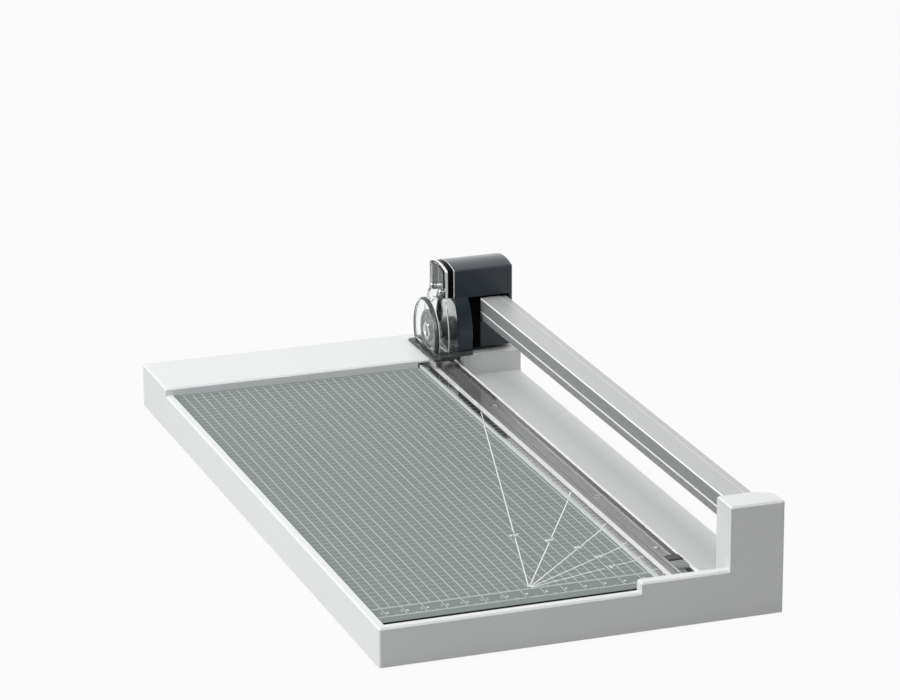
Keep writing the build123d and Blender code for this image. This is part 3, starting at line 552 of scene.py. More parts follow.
# The cover bends light as thin walls would, less than a block of its plastic
CLEAR = ClearPlastic("clear_plastic_polished", (0.97, 0.98, 0.98), (0.9, 0.91, 0.91), refraction=1.16)
CLAMP_CLEAR = ClearPlastic("clamp_plastic_polished", (0.94, 0.94, 0.935), (0.75, 0.745, 0.74))

NODE_FINISHES = {
    WHITE_PLASTIC: ("base_shell", "rail_end_cap"),
    MAT_PLASTIC: ("cutting_mat",),
    COUNTER_STEEL: ("counter_blade",),
    BLADE_STEEL: ("rotary_blade",),
    ALUMINIUM: ("rail",),
    DARK_PLASTIC: ("carriage_housing", "blade_guard"),
    HUB_PLASTIC: ("blade_hub",),
    # The slide liners are black as painted shade in the gap round the rail where it runs into the head; the
    # cover's seal shares the material.
    BLACK_PLASTIC_AND_SHADE: ("cover_seal", "slide_liner_front", "slide_liner_rear"),
    GUIDE_LIT_AND_SHADED: ("clamp_guide_front", "clamp_guide_rear"),
    CLEAR: ("blade_cover",),
    CLAMP_CLEAR: ("paper_clamp",),
    NYLON: ("rail_plug_front", "rail_plug_rear"),
    SCREW_STEEL: ("blade_axle", "axle_nut", "thrust_washer", "disc_spring"),
    RUBBER: ("foot_front_left", "foot_front_right", "foot_rear_left", "foot_rear_right"),
}

def dress_nodes() -> None:
    """Gives each CAD node that stays in view its finish."""
    for finish, nodes in NODE_FINISHES.items():
        material = finish.material()
        for node in nodes:
            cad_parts[node].material_slots[0].material = material
            LOG.info("%s: %s", node, finish.name)


def linked(name: str, data: bpy.types.ID) -> Object:
    """Makes an object and links it into the scene.

    Args:
        name: the object's name.
        data: its mesh, lamp or camera.

    Returns:
        The new object.
    """
    made = bpy.data.objects.new(name, data)
    bpy.context.scene.collection.objects.link(made)
    return made


def new_piece(name: str, surface: Surface, material: Material, smooth: bool = False) -> Object:
    """Makes a mesh object at the origin from worked-out points and faces.

    Args:
        name: the piece's name.
        surface: points as an (n, 3) array, and faces as lists of point numbers.
        material: its finish.
        smooth: whether its faces are shaded as one surface up to sharp edges.

    Returns:
        The new object.
    """
    points, faces = surface
    mesh = bpy.data.meshes.new(name)
    mesh.from_pydata(points.tolist(), [], faces)
    mesh.materials.append(material)
    if smooth:
        mesh.shade_smooth()
        mesh.set_sharp_from_angle(angle=SHARP_EDGE)
    mesh.validate()
    LOG.info("%s: %d faces", name, len(mesh.polygons))
    return linked(name, mesh)


def mount(piece: Object, body: Body, slot: Slot) -> None:
    """Lets a piece ride on a body."""
    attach(piece, body.value)


def mesh_points(mesh: bpy.types.Mesh) -> Array:
    """Returns a mesh's points as an (n, 3) array."""
    return np.array([vertex.co for vertex in mesh.vertices])


def joined(surfaces: Iterable[Surface]) -> Surface:
    """Puts several surfaces into one list of points and faces.

    Args:
        surfaces: the surfaces to join.

    Returns:
        One surface, whose faces count the points of all that came before.
    """
    points, faces, count = [], [], 0
    for part_points, part_faces in surfaces:
        points.append(part_points)
        faces += [[number + count for number in face] for face in part_faces]
        count += len(part_points)
    return np.concatenate(points), faces


def lofted(rings: Array, inward: bool, endless: bool = False) -> Surface:
    """Joins rings of points into one closed skin, with a flat face at each end or end to end.

    Args:
        rings: an (m, n, 3) array of m closed rings.
        inward: whether the faces would point inwards as they come, and so are turned round.
        endless: whether the last ring joins the first.

    Returns:
        The skin.
    """
    count, around = rings.shape[:2]
    number = np.arange(count * around).reshape(count, around)
    ends = [] if endless else [number[0, ::-1].tolist(), number[-1].tolist()]
    if endless:
        number = np.concatenate([number, number[:1]])
    after = np.roll(number, -1, axis=1)
    quads = np.stack([number[:-1], after[:-1], after[1:], number[1:]], axis=2).reshape(-1, 4)
    faces = [*quads.tolist(), *ends]
    if inward:
        faces = [face[::-1] for face in faces]
    return rings.reshape(-1, 3), faces


def carried(outline: Array, axis: int, places: tuple[float, float]) -> Surface:
    """Returns the prism of a flat outline, carried along an axis from one place to another."""
    return lofted(np.stack([np.insert(outline, axis, place, axis=1) for place in places]), inward=False)


def ink_bars(starts: Array, ends: Array, width: float, levels: tuple[float, float]) -> Surface:
    """Makes closed bars of ink between pairs of plan points.

    A bar's four plan corners are start or end, plus or minus half the width along the unit normal of
    the line from start to end. They are carried from the lower level to the upper one.

    Args:
        starts: plan points as an (n, 2) array.
        ends: plan points as an (n, 2) array.
        width: the bars' width.
        levels: z of their undersides and of their tops.

    Returns:
        The bars as one surface.
    """
    run = ends - starts
    run = run / np.linalg.norm(run, axis=1, keepdims=True)
    side = np.stack([-run[:, 1], run[:, 0]], axis=1) * (width / 2)
    plan = np.stack([starts - side, ends - side, ends + side, starts + side], axis=1)
    points = np.empty((len(starts), 2, 4, 3))
    points[..., :2] = plan[:, None]
    points[..., 2] = np.array(levels)[None, :, None]
    box = np.array([[3, 2, 1, 0], [4, 5, 6, 7], [0, 1, 5, 4], [1, 2, 6, 5], [2, 3, 7, 6], [3, 0, 4, 7]])
    faces = box[None] + 8 * np.arange(len(starts))[:, None, None]
    return points.reshape(-1, 3), faces.reshape(-1, 4).tolist()


def lettering(words: str, size: float, weight: float, centre: tuple, levels: tuple[float, float]) -> Surface:
    """Makes closed letters of ink that lie on the bed and read from the front.

    Args:
        words: what to write.
        size: height of the letters' body.
        weight: how far their outline is moved outwards.
        centre: plan point of their middle.
        levels: z of their undersides and of their tops.

    Returns:
        The letters as one surface.
    """
    low, high = levels
    text = bpy.data.curves.new("lettering", "FONT")
    text.body = words
    text.size = size
    text.offset = weight
    text.extrude = (high - low) / 2
    text.resolution_u = LETTER_STEPS
    text.align_x = text.align_y = "CENTER"
    holder = bpy.data.objects.new("lettering", text)
    mesh = bpy.data.meshes.new_from_object(holder)
    points = mesh_points(mesh) + (*centre, (low + high) / 2)
    faces = [list(face.vertices) for face in mesh.polygons]
    bpy.data.meshes.remove(mesh)
    bpy.data.objects.remove(holder)
    bpy.data.curves.remove(text)
    return points, faces


@dataclass
class BedPrint:
    """The mat's white print: a grid, a ruler whose zero is the cutting edge, and angle lines."""

    pitch: float = 5 * MM
    column_line: float = 0.22 * MM
    row_line: float = 0.2 * MM
    bold_line: float = 0.6 * MM
    tick_line: float = 0.36 * MM
    margin: float = 0.6 * MM
    first_row: float = 18.16 * MM
    ruler_base: float = 6.2 * MM
    upper_tick: float = 1.5 * MM
    lower_tick: float = 1.2 * MM
    half_tick: float = 2.6 * MM
    number_tick: float = 3.4 * MM
    number_step: float = 10 * MM
    number_row: float = 11.4 * MM
    number_size: float = 2.6 * MM
    number_weight: float = 0.07 * MM
    digit_reach: float = 1.5 * MM
    label_size: float = 4.2 * MM
    label_weight: float = 0.12 * MM
    label_first: float = 48.6 * MM
    label_step: float = 5.65 * MM
    label_gap: float = 3.6 * MM
    apex_count: int = 17
    angle_step: int = 15
    film: float = 0.02 * MM
    sunk: float = 0.01 * MM

    def __post_init__(self) -> None:
        """Reads the mat's box and the cutting edge from the imported model."""
        low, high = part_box("cutting_mat")
        self.left, self.right = low.x + self.margin, high.x - self.margin
        self.front, self.back = low.y, high.y - self.margin
        self.zero = BLADE_HIGH.x
        self.levels = (high.z - self.sunk, high.z + self.film)
        self.grid_front = self.front + self.first_row
        self.base_line = self.front + self.ruler_base

    def marks(self, step: float) -> Array:
        """Returns the distances from zero, in whole steps, that lie on the mat."""
        first, last = np.ceil((self.zero - self.right) / step), np.floor((self.zero - self.left) / step)
        return np.arange(first, last + 1) * step

    def upright(self, xs: Array, low: float | Array, high: float | Array, width: float) -> Surface:
        """Returns bars along Y at the given places, between two y values."""
        starts, ends = (np.stack([xs, np.broadcast_to(y, xs.shape)], axis=1) for y in (low, high))
        return ink_bars(starts, ends, width, self.levels)

    def columns(self) -> Surface:
        """Makes the grid's lines along Y, left of the band of painted shade along the mat's right edge. The
        centimetre ones cross the ruler.

        Returns:
            The lines.
        """
        distances = self.marks(self.pitch)
        distances = distances[self.zero - distances < MAT_HIGH.x - MAT_SHADE_REACH]
        whole = np.rint(distances / self.pitch).astype(int) % 2 == 0
        fronts = np.where(whole, self.base_line, self.grid_front)
        return self.upright(self.zero - distances, fronts, self.back, self.column_line)

    def rows(self) -> Surface:
        """Makes the grid's lines along X, behind the ruler.

        Returns:
            The lines, from edge to edge of the mat.
        """
        ys = np.arange(self.grid_front + self.pitch, self.back, self.pitch)
        starts, ends = (np.stack([np.full(ys.shape, x), ys], axis=1) for x in (self.left, self.right))
        return ink_bars(starts, ends, self.row_line, self.levels)

    def ruler(self) -> Surface:
        """Makes the ruler's two rows of millimetre ticks, with longer ones at 5 mm and 10 mm.

        Returns:
            The ticks.
        """
        distances = self.marks(MM)
        count = np.rint(distances / MM).astype(int)
        xs = self.zero - distances
        longer = np.where(count % 5 == 0, self.half_tick, self.lower_tick)
        longer = np.where(count % 10 == 0, self.number_tick, longer)
        return joined([
            self.upright(xs, self.grid_front - self.upper_tick, self.grid_front, self.tick_line),
            self.upright(xs, self.base_line, self.base_line + longer, self.tick_line),
        ])

    def numbers(self) -> Surface:
        """Makes the ruler's centimetre numbers, whose digits stand on both sides of their line.

        Returns:
            The digits.
        """
        y = self.front + self.number_row
        surfaces = []
        for number in np.rint(self.marks(self.number_step) / self.number_step).astype(int):
            for digit, side in zip(f"{number:>2}", (-1, 1)):
                if digit.strip():
                    centre = (self.zero - self.number_step * number + side * self.digit_reach, y)
                    style = (self.number_size, self.number_weight, centre, self.levels)
                    surfaces.append(lettering(digit, *style))
        return joined(surfaces)

    def angles(self) -> tuple[Surface, Surface]:
        """Makes the angle lines, which fan out from one point of the grid to the mat's right edge.

        A line at angle a leaves the point at (cos a, sin a), breaks off for its label and goes on.

        Returns:
            The lines, and their labels.
        """
        apex = np.array([self.zero - self.apex_count * self.pitch, self.grid_front])
        degrees = np.arange(self.angle_step, RIGHT_ANGLE, self.angle_step)
        turn = np.radians(degrees)
        away = np.stack([np.cos(turn), np.sin(turn)], axis=1)
        reach = (self.right - apex[0]) / away[:, 0]
        middle = self.label_first + self.label_step * np.arange(len(degrees))
        starts = np.concatenate([np.zeros(len(degrees)), middle + self.label_gap])
        ends = np.concatenate([middle - self.label_gap, reach])
        both = np.concatenate([away, away])
        starts, ends = (apex + both * distance[:, None] for distance in (starts, ends))
        labels = [
            lettering(f"{angle}°", self.label_size, self.label_weight, tuple(centre), self.levels)
            for angle, centre in zip(degrees, apex + away * middle[:, None])
        ]
        return ink_bars(starts, ends, self.bold_line, self.levels), joined(labels)

    def build(self) -> None:
        """Builds the print's pieces and lays them on the mat."""
        ink, fine = INK.material(), FINE_INK.material()
        lines, labels = self.angles()
        pieces = {
            "print_columns": (self.columns(), ink),
            "print_rows": (self.rows(), fine),
            "print_ruler": (self.ruler(), ink),
            "print_numbers": (self.numbers(), ink),
            "print_angle_lines": (lines, ink),
            "print_angle_labels": (labels, ink),
        }
        for name, (surface, material) in pieces.items():
            mount(new_piece(name, surface, material), Body.BASE, Slot.PRINT)


@dataclass
class ClampEdge:
    """Painted highlights on the clear clamp's edges: pale skins on its left side and in its notch, and a
    pale see-through band over its upper bevel.
    """

    skin: float = 0.04 * MM
    sunk: float = 0.01 * MM
    margin: float = 0.1 * MM
    bevel: float = 0.3 * MM
    notch_gap: float = 0.4 * MM
    band: float = 0.5 * MM

    def build(self) -> None:
        """Builds the skins along the clamp's left side and notch, and the band over its upper bevel."""
        low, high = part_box("paper_clamp")
        outside = self.skin / 2 - self.sunk
        left = low.x - outside
        notch = GUIDE_LOW.x - self.notch_gap + outside
        front, back = low.y + self.margin, high.y - self.margin
        starts = np.array([[left, front], [notch, front]])
        ends = np.array([[left, back], [notch, GUIDE_HIGH.y]])
        edges = ink_bars(starts, ends, self.skin, (low.z + self.margin, high.z - self.bevel))
        level = high.z + outside
        crest = left + self.bevel
        slope = [(left, level - self.bevel), (crest, level), (crest + self.band, level)]
        across = np.array(slope + [(x + self.sunk, z - self.skin) for x, z in reversed(slope)])
        painted_bevel_highlight = carried(across, 1, (front, back))
        pieces = {"clamp_painted_highlight_edges": (edges, EDGE_HIGHLIGHT), "clamp_painted_bevel_highlight_band": (painted_bevel_highlight, BEVEL_HIGHLIGHT)}
        for name, (surface, finish) in pieces.items():
            mount(new_piece(name, surface, finish.material()), Body.CLAMP, Slot.CLEAR)


def cell_solid(cuts: tuple[Array, ...], filled: Array) -> Surface:
    """Makes a closed skin round the filled cells of a grid.

    A face stands between two neighbouring cells of which one is filled and the other is empty. Its four
    corners are grid points, in the order that turns it away from the filled cell.

    Args:
        cuts: the grid's x, y and z levels.
        filled: which cells are filled, one fewer than the levels along each axis.

    Returns:
        The skin, whose points are shared between faces.
    """
    padded = np.pad(filled, 1)
    steps = np.eye(3, dtype=int)
    corners = []
    for axis in range(3):
        after = np.roll(padded, -1, axis=axis)
        for sign, inside, outside in ((1, padded, after), (-1, after, padded)):
            base = np.argwhere(inside & ~outside) - 1 + steps[axis]
            one, two = steps[[(axis + sign) % 3, (axis - sign) % 3]]
            corners.append(np.stack([base, base + one, base + one + two, base + two], axis=1))
    grid = np.concatenate(corners).reshape(-1, 3)
    grid, number = np.unique(grid, axis=0, return_inverse=True)
    points = np.stack([levels[grid[:, axis]] for axis, levels in enumerate(cuts)], axis=1)
    return points, number.reshape(-1, 4).tolist()


@dataclass
class SkidFrame:
    """The head's foot as an open frame: a low bar at its left, cross bars at both ends and the screwed side.

    The places are measured from the foot's left side.
    """

    bar_left: float = 1.1 * MM
    bar_right: float = 5.0 * MM
    bar_drop: float = 1.2 * MM
    front_bar: float = 8.5 * MM
    rear_bar: float = 2.2 * MM
    front_step: float = 4.6 * MM
    step_place: float = 14.9 * MM
    side_place: float = 21.7 * MM
    toe: float = 0.9 * MM
    bevel: float = 0.25 * MM

    def build(self) -> None:
        """Builds the frame in the foot's place, with its edges eased.

        The cells above the left bar, beside the stepped front and in the open middle stay empty.
        """
        low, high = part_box("foot_skid")
        places = (self.bar_left, self.bar_right, self.step_place, self.side_place)
        xs = np.array([*(low.x + place for place in places), high.x - self.toe])
        front = [low.y, low.y + self.front_step, low.y + self.front_bar]
        ys = np.array([*front, high.y - self.rear_bar, high.y])
        zs = np.array([low.z, high.z - self.bar_drop, high.z])
        filled = np.ones((4, 4, 2), dtype=bool)
        filled[0, :, 1] = False
        filled[2:, 0] = False
        filled[1:3, 2] = False
        piece = new_piece("skid_frame", cell_solid((xs, ys, zs), filled), SKID_PLASTIC_AND_SHADE.material())
        ease = piece.modifiers.new("eased_edges", "BEVEL")
        ease.width = self.bevel
        ease.segments = 2
        ease.limit_method = "ANGLE"
        mount(piece, Body.HEAD, Slot.DARK)
        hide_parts("foot_skid")


@dataclass
class FenceLid:
    """The fence's own top carried over the left part of the clamp's channel, up to the head's foot."""

    side_gap: float = 1.2 * MM
    front_gap: float = 0.2 * MM
    back_gap: float = 0.15 * MM
    reach: float = 6.6 * MM
    top: float = 24.7 * MM
    thickness: float = 1.9 * MM
    bevel: float = 0.9 * MM

    def build(self) -> None:
        """Builds the lid as a five-sided side view, bevelled in front as the fence is, carried along X."""
        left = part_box("paper_clamp")[0].x - self.side_gap
        front, back = MAT_HIGH.y + self.front_gap, BLADE_HIGH.y + self.back_gap
        top, under = self.top, self.top - self.thickness
        bevelled = [[front + self.bevel, top], [front, top - self.bevel]]
        side = np.array([[front, under], [back, under], [back, top], *bevelled])
        lid = carried(side, 0, (left, left + self.reach))
        mount(new_piece("fence_lid", lid, WHITE_PLASTIC.material()), Body.BASE, Slot.WHITE)


def axle_middle() -> Array:
    """Returns the y and z of the blade's axle."""
    low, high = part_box("blade_axle")
    return np.array([low.y + high.y, low.z + high.z]) / 2


@dataclass
class DrumPlate:
    """The ribbed ring on the axle's head inside the clear drum, flat below, and its socket nut.

    Each row of a profile gives, in millimetres, a height over the axle's head and a radius.
    """

    radius: float = 12.2 * MM
    inner: float = 6.6 * MM
    drop: float = 7.2 * MM
    ribs: int = 16
    rib: float = 0.9 * MM
    rib_from: float = 7.2 * MM
    rib_to: float = 10.0 * MM
    ring_profile: tuple = (
        (0.0, 4.2), (0.0, 12.2), (2.0, 12.2), (2.4, 11.8), (2.4, 11.0), (2.1, 10.6), (1.0, 10.4),
        (1.0, 10.0), (1.0, 7.2), (1.0, 6.8), (1.0, 4.2),
    )
    nut_profile: tuple = ((1.0, 6.0), (2.7, 6.0), (3.1, 5.1), (3.1, 3.2), (2.8, 2.9), (1.4, 2.7))
    nut_corner: float = 5.6 * MM
    nut_sides: int = 6
    around: int = 144

    def __post_init__(self) -> None:
        """Reads the axle from the imported model."""
        self.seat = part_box("blade_axle")[0].x
        self.axle = axle_middle()
        self.turn = np.linspace(0, TURN, self.around, endpoint=False)

    def rings(self, rise: Array, radius: Array) -> Array:
        """Places rings about the axle.

        Args:
            rise: how far each point stands out from the axle's head to the left.
            radius: each point's distance from the axle.

        Returns:
            An (m, n, 3) array of m rings.
        """
        y = self.axle[0] + radius * np.cos(self.turn)
        z = self.axle[1] + radius * np.sin(self.turn)
        return np.stack([self.seat - rise, y, z], axis=2)

    def ring(self) -> Surface:
        """Works out the ribbed ring.

        Outside the inner radius, radii are drawn in where the flat lower side, a fixed drop below the
        axle, is nearer than the rim: that is at the drop over minus the sine of the angle. The ribs are
        a cosine wave of the angle, cut off at zero.

        Returns:
            The ring.
        """
        edge = np.minimum(self.radius, self.drop / np.maximum(-np.sin(self.turn), TINY))
        profile = np.array(self.ring_profile) * MM
        ribbed = (profile[:, 1] >= self.rib_from) & (profile[:, 1] <= self.rib_to)
        beyond = np.clip((profile[:, 1] - self.inner) / (self.radius - self.inner), 0, 1)
        radius = np.minimum(profile[:, 1], self.inner)[:, None] + beyond[:, None] * (edge - self.inner)
        rise = profile[:, :1] + ribbed[:, None] * self.rib * np.clip(np.cos(self.ribs * self.turn), 0, 1)
        return lofted(self.rings(rise, radius), inward=True, endless=True)

    def nut(self) -> Surface:
        """Works out the six-sided nut with a round socket.

        A side's distance from the axle is the corner's times the cosine of half a side's angle, over the
        cosine of the angle from the side's middle. The profile's radii are the largest.

        Returns:
            The nut.
        """
        side = TURN / self.nut_sides
        hexagon = self.nut_corner * np.cos(side / 2) / np.cos(self.turn % side - side / 2)
        profile = np.array(self.nut_profile) * MM
        radius = np.minimum(hexagon, profile[:, 1:])
        return lofted(self.rings(np.broadcast_to(profile[:, :1], radius.shape), radius), inward=True)

    def build(self) -> None:
        """Builds the ring and its nut."""
        mount(new_piece("drum_plate", self.ring(), PLATE.material(), smooth=True), Body.HEAD, Slot.DARK)
        mount(new_piece("drum_nut", self.nut(), SCREW_STEEL.material()), Body.HEAD, Slot.SCREW)


@dataclass
class CoverRims:
    """Painted highlights along the clear cover's rims, and a painted dark reflection round its drum, as thin
    skins.

    Each follows a side view of the cover between two x values: the box beside its seal, the drum, or the
    body's two bulging ends. A side view is an (n, 2) array of y and z.
    """

    skin: float = 0.05 * MM
    seal_sink: float = 0.1 * MM
    seal_gap: float = 0.06 * MM
    arch_radius: float = 37.8 * MM
    bevel: float = 0.8 * MM
    left_rim: float = 1.5 * MM
    right_rim: float = 0.42 * MM
    drum_radius: float = 19.2 * MM
    drum_bevel: float = 1.2 * MM
    band: float = 1.0 * MM
    band_rim: float = 0.5 * MM
    bulge_radius: float = 35.2 * MM
    bulge_centre: float = 15.8 * MM
    body_place: float = 7.4 * MM
    body_rim: float = 0.6 * MM
    steps: int = 40

    def __post_init__(self) -> None:
        """Reads the cover, its seal and the axle from the imported model."""
        self.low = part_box("blade_cover")[0]
        self.seal_low, self.seal_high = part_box("cover_seal")
        self.axle = axle_middle()

    def box(self, grow: float) -> Array:
        """Works out the box's side view, from the foot of its front round to the foot of its back.

        The top is an arc under the crown. At each end it drops by the bevel to an upright.

        Args:
            grow: how far the outline is moved outwards.

        Returns:
            The side view.
        """
        half = (self.seal_high.y - self.seal_low.y) / 2 + self.seal_sink + grow
        crown = self.seal_high.z + self.seal_sink + grow
        radius = self.arch_radius + grow
        crest = half - self.bevel
        across = np.linspace(-crest, crest, self.steps)
        arc = np.stack([self.axle[0] + across, crown - radius + np.sqrt(radius**2 - across**2)], axis=1)
        shoulder = arc[0, 1] - self.bevel
        front = [[self.axle[0] - half, self.seal_low.z], [self.axle[0] - half, shoulder]]
        back = [[self.axle[0] + half, shoulder], [self.axle[0] + half, self.seal_low.z]]
        return np.concatenate([front, arc, back])

    def drum(self, grow: float) -> Array:
        """Works out the drum's side view: the arc over the cover's foot.

        Args:
            grow: how far the outline is moved outwards.

        Returns:
            The side view.
        """
        foot = np.arcsin((self.low.z - self.axle[1]) / self.drum_radius)
        turn = np.linspace(np.pi - foot, foot, 2 * self.steps)
        return self.axle + (self.drum_radius + grow) * np.stack([np.cos(turn), np.sin(turn)], axis=1)

    def bulge(self, side: int, grow: float) -> Array:
        """Works out one end of the body's side view: an arc from foot to box, centred beyond the axle.

        Args:
            side: -1 for the front end and 1 for the back one.
            grow: how far the outline is moved outwards.

        Returns:
            The side view.
        """
        height = np.linspace(self.low.z, self.seal_low.z, self.steps)
        reach = np.sqrt((self.bulge_radius + grow) ** 2 - (height - self.axle[1]) ** 2) - self.bulge_centre
        return np.stack([self.axle[0] + side * reach, height], axis=1)[::-side]

    def strip(
        self, outline: Callable[[float], Array], left: float, right: float, draw: float = 0.0
    ) -> Surface:
        """Makes the closed skin along a side view between two x values.

        Args:
            outline: gives the side view, moved outwards by an amount.
            left: x of its left edge.
            right: x of its right edge.
            draw: how far the left edge is drawn in.

        Returns:
            The skin.
        """
        half = self.skin / 2
        corners = ((left, -draw - half), (right, -half), (right, half), (left, half - draw))
        rings = np.stack([np.insert(outline(grow), 0, x, axis=1) for x, grow in corners], axis=1)
        return lofted(rings, inward=True)

    def build(self) -> None:
        """Builds the painted highlight rims as one piece and the drum's band of painted dark reflection as
        another.
        """
        left, right = self.seal_low.x - self.seal_gap, self.seal_high.x + self.seal_gap
        band = self.low.x + self.drum_bevel
        body = self.low.x + self.body_place
        rims = joined([
            self.strip(self.box, left - self.left_rim, left),
            self.strip(self.box, right, right + self.right_rim),
            self.strip(self.drum, band + self.band, band + self.band + self.band_rim),
            *(self.strip(partial(self.bulge, side), body, body + self.body_rim) for side in (-1, 1)),
        ])
        painted_dark_reflection = joined([
            self.strip(self.drum, self.low.x, band, self.drum_bevel),
            self.strip(self.drum, band, band + self.band),
        ])
        for name, surface, finish in (("cover_rims", rims, RIM_HIGHLIGHT), ("drum_band", painted_dark_reflection, DRUM_DARK_REFLECTION)):
            mount(new_piece(name, surface, finish.material(), smooth=True), Body.HEAD, Slot.CLEAR)


@dataclass
class ScrewSet:
    """Screws that stand for one CAD node, with a cross recess in each head and a thread on each shank.

    The sizes are read from the node's own mesh: each solid's axis, its head and its shank. The thread's
    depth is a share of the shank's radius, and the bevel's and the recess's sizes are shares of the head's.
    """

    node: str
    body: Body
    axis: int
    head_side: int
    pitch: float = 0.7 * MM
    around: int = 32
    apart: float = 4 * MM
    tip_length: float = 0.05 * MM
    slack: float = 0.02 * MM
    rows_per_turn: int = 6
    fewest_rows: int = 4
    thread_depth: float = 0.25
    bevel: float = 0.12
    bevel_rise: float = 0.4
    bevel_draw: float = 0.35
    face_span: tuple[float, float] = (0.96, 0.04)
    face_rings: int = 14
    arm_width: float = 0.15
    arm_reach: float = 0.56
    arm_soft: float = 0.05
    recess_most: float = 0.6
    recess_below: float = 0.4
    recess_share: float = 0.6

    def solids(self) -> list[Array]:
        """Tells the screws apart by the gaps between them along Y.

        Returns:
            The points of each.
        """
        points = mesh_points(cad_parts[self.node].data)
        points = points[np.argsort(points[:, 1])]
        return np.split(points, np.flatnonzero(np.diff(points[:, 1]) > self.apart) + 1)

    def outline(self, along: Array, radius: Array) -> tuple[float, ...]:
        """Reads a screw's half outline from its points.

        Args:
            along: each point's place along the axis, with the head at the high end.
            radius: each point's distance from the axis.

        Returns:
            The places of the tip, the neck, the head's rim and its top, and the radii of shank and head.
        """
        tip, top = along.min(), along.max()
        shank, head = radius[along < tip + self.tip_length].max(), radius.max()
        neck = along[(radius > shank - self.slack) & (radius < shank + self.slack)].max()
        return tip, neck, along[radius > head - self.slack].min(), top, shank, head

    def recess(self, x: Array, y: Array, head: float) -> Array:
        """Works out the cross in a head, the larger of two soft strips at right angles.

        Args:
            x: places across the head.
            y: places across the head, at right angles to those.
            head: the head's radius.

        Returns:
            1 inside the cross and 0 outside it.
        """
        soft, arm, reach = self.arm_soft * head, self.arm_width * head, self.arm_reach * head
        strips = []
        for near, far in ((x, y), (y, x)):
            across, along = (arm - np.abs(near)) / soft, (reach - np.abs(far)) / soft
            strips.append(np.clip(across + 0.5, 0, 1) * np.clip(along + 0.5, 0, 1))
        return np.maximum(*strips)

    def rings(self, tip: float, neck: float, rim: float, top: float, shank: float, head: float) -> Array:
        """Works out one screw as rings about its axis.

        On the shank the radius falls by the thread's depth times a triangle wave of place over pitch
        minus angle over a turn. On the head the top sinks by the recess's depth inside the cross.

        Args:
            tip: place of the tip.
            neck: place where the shank ends.
            rim: place of the head's lower rim.
            top: place of the head's top.
            shank: the shank's radius.
            head: the head's radius.

        Returns:
            An (m, around, 3) array of local points, the axis along its last part.
        """
        turn = np.linspace(0, TURN, self.around, endpoint=False)
        bevel = self.bevel * head
        rows = max(int((neck - tip) / self.pitch * self.rows_per_turn), self.fewest_rows)
        thread_z = np.linspace(tip, neck, rows)
        fade = np.clip((neck - thread_z) / self.pitch, 0, 1) * np.clip((thread_z - tip) / self.pitch, 0, 1)
        wave = (thread_z[:, None] / self.pitch - turn / TURN) % 1
        thread_r = shank - self.thread_depth * shank * fade[:, None] * np.abs(2 * wave - 1)
        side_z = np.array([rim, max(top - bevel, rim), top - self.bevel_rise * bevel, top])
        side_r = np.array([head, head, head - self.bevel_draw * bevel, head - bevel])
        face_r = np.linspace(*self.face_span, self.face_rings) * (head - bevel)
        cross = self.recess(np.outer(face_r, np.cos(turn)), np.outer(face_r, np.sin(turn)), head)
        depth = self.recess_share * min(top - rim + self.recess_below * head, self.recess_most * head)
        level = np.ones(self.around)
        radius = np.concatenate([thread_r, np.outer(side_r, level), np.outer(face_r, level)])
        height = np.concatenate([np.outer(thread_z, level), np.outer(side_z, level), top - depth * cross])
        return np.stack([radius * np.cos(turn), radius * np.sin(turn), height], axis=2)

    def screw(self, points: Array) -> Surface:
        """Works out one screw from its CAD points.

        Args:
            points: the points of its solid.

        Returns:
            Its surface, closed at both ends.
        """
        others = [a for a in range(3) if a != self.axis]
        centre = (points.min(axis=0) + points.max(axis=0)) / 2
        along = self.head_side * points[:, self.axis]
        radius = np.linalg.norm(points[:, others] - centre[others], axis=1)
        rings = self.rings(*self.outline(along, radius))
        placed = np.empty_like(rings)
        placed[..., self.axis] = self.head_side * rings[..., 2]
        placed[..., others] = centre[others] + rings[..., :2]
        handed = np.linalg.det(np.eye(3)[[*others, self.axis]]) * self.head_side
        return lofted(placed, inward=handed < 0)

    def build(self, material: Material) -> None:
        """Builds the set as one piece in the node's place.

        Args:
            material: the finish that all screws share.
        """
        surface = joined(map(self.screw, self.solids()))
        piece = new_piece(f"{self.node}_threaded", surface, material, smooth=True)
        mount(piece, self.body, Slot.SCREW)
        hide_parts(self.node)


SCREWS = (
    ScrewSet("counter_blade_screws", Body.BASE, axis=2, head_side=1),
    ScrewSet("clamp_guide_screws", Body.BASE, axis=2, head_side=1),
    ScrewSet("rail_screws", Body.BASE, axis=2, head_side=-1),
    ScrewSet("cover_screws", Body.HEAD, axis=0, head_side=-1, pitch=0.5 * MM),
    ScrewSet("guard_screws", Body.HEAD, axis=0, head_side=-1, pitch=0.5 * MM),
    ScrewSet("skid_screws", Body.HEAD, axis=2, head_side=-1, pitch=0.5 * MM),
)


@dataclass(frozen=True)
class Lamp:
    """A square soft lamp, aimed at the bed."""

    name: str
    place: Triple
    size: float
    power: float

    def hang(self) -> None:
        """Hangs the lamp in the scene."""
        lamp = bpy.data.lights.new(self.name, "AREA")
        lamp.size = self.size
        lamp.energy = self.power
        place = Vector(self.place)
        turn = place.to_track_quat("Z", "Y").to_matrix().to_4x4()
        linked(self.name, lamp).matrix_world = Matrix.Translation(place) @ turn


LAMPS = (
    Lamp("overhead", (-0.1, 0.15, 2.2), 2.0, 34.5),
    Lamp("side", (-2.0, -0.35, 0.85), 1.2, 24.5),
)


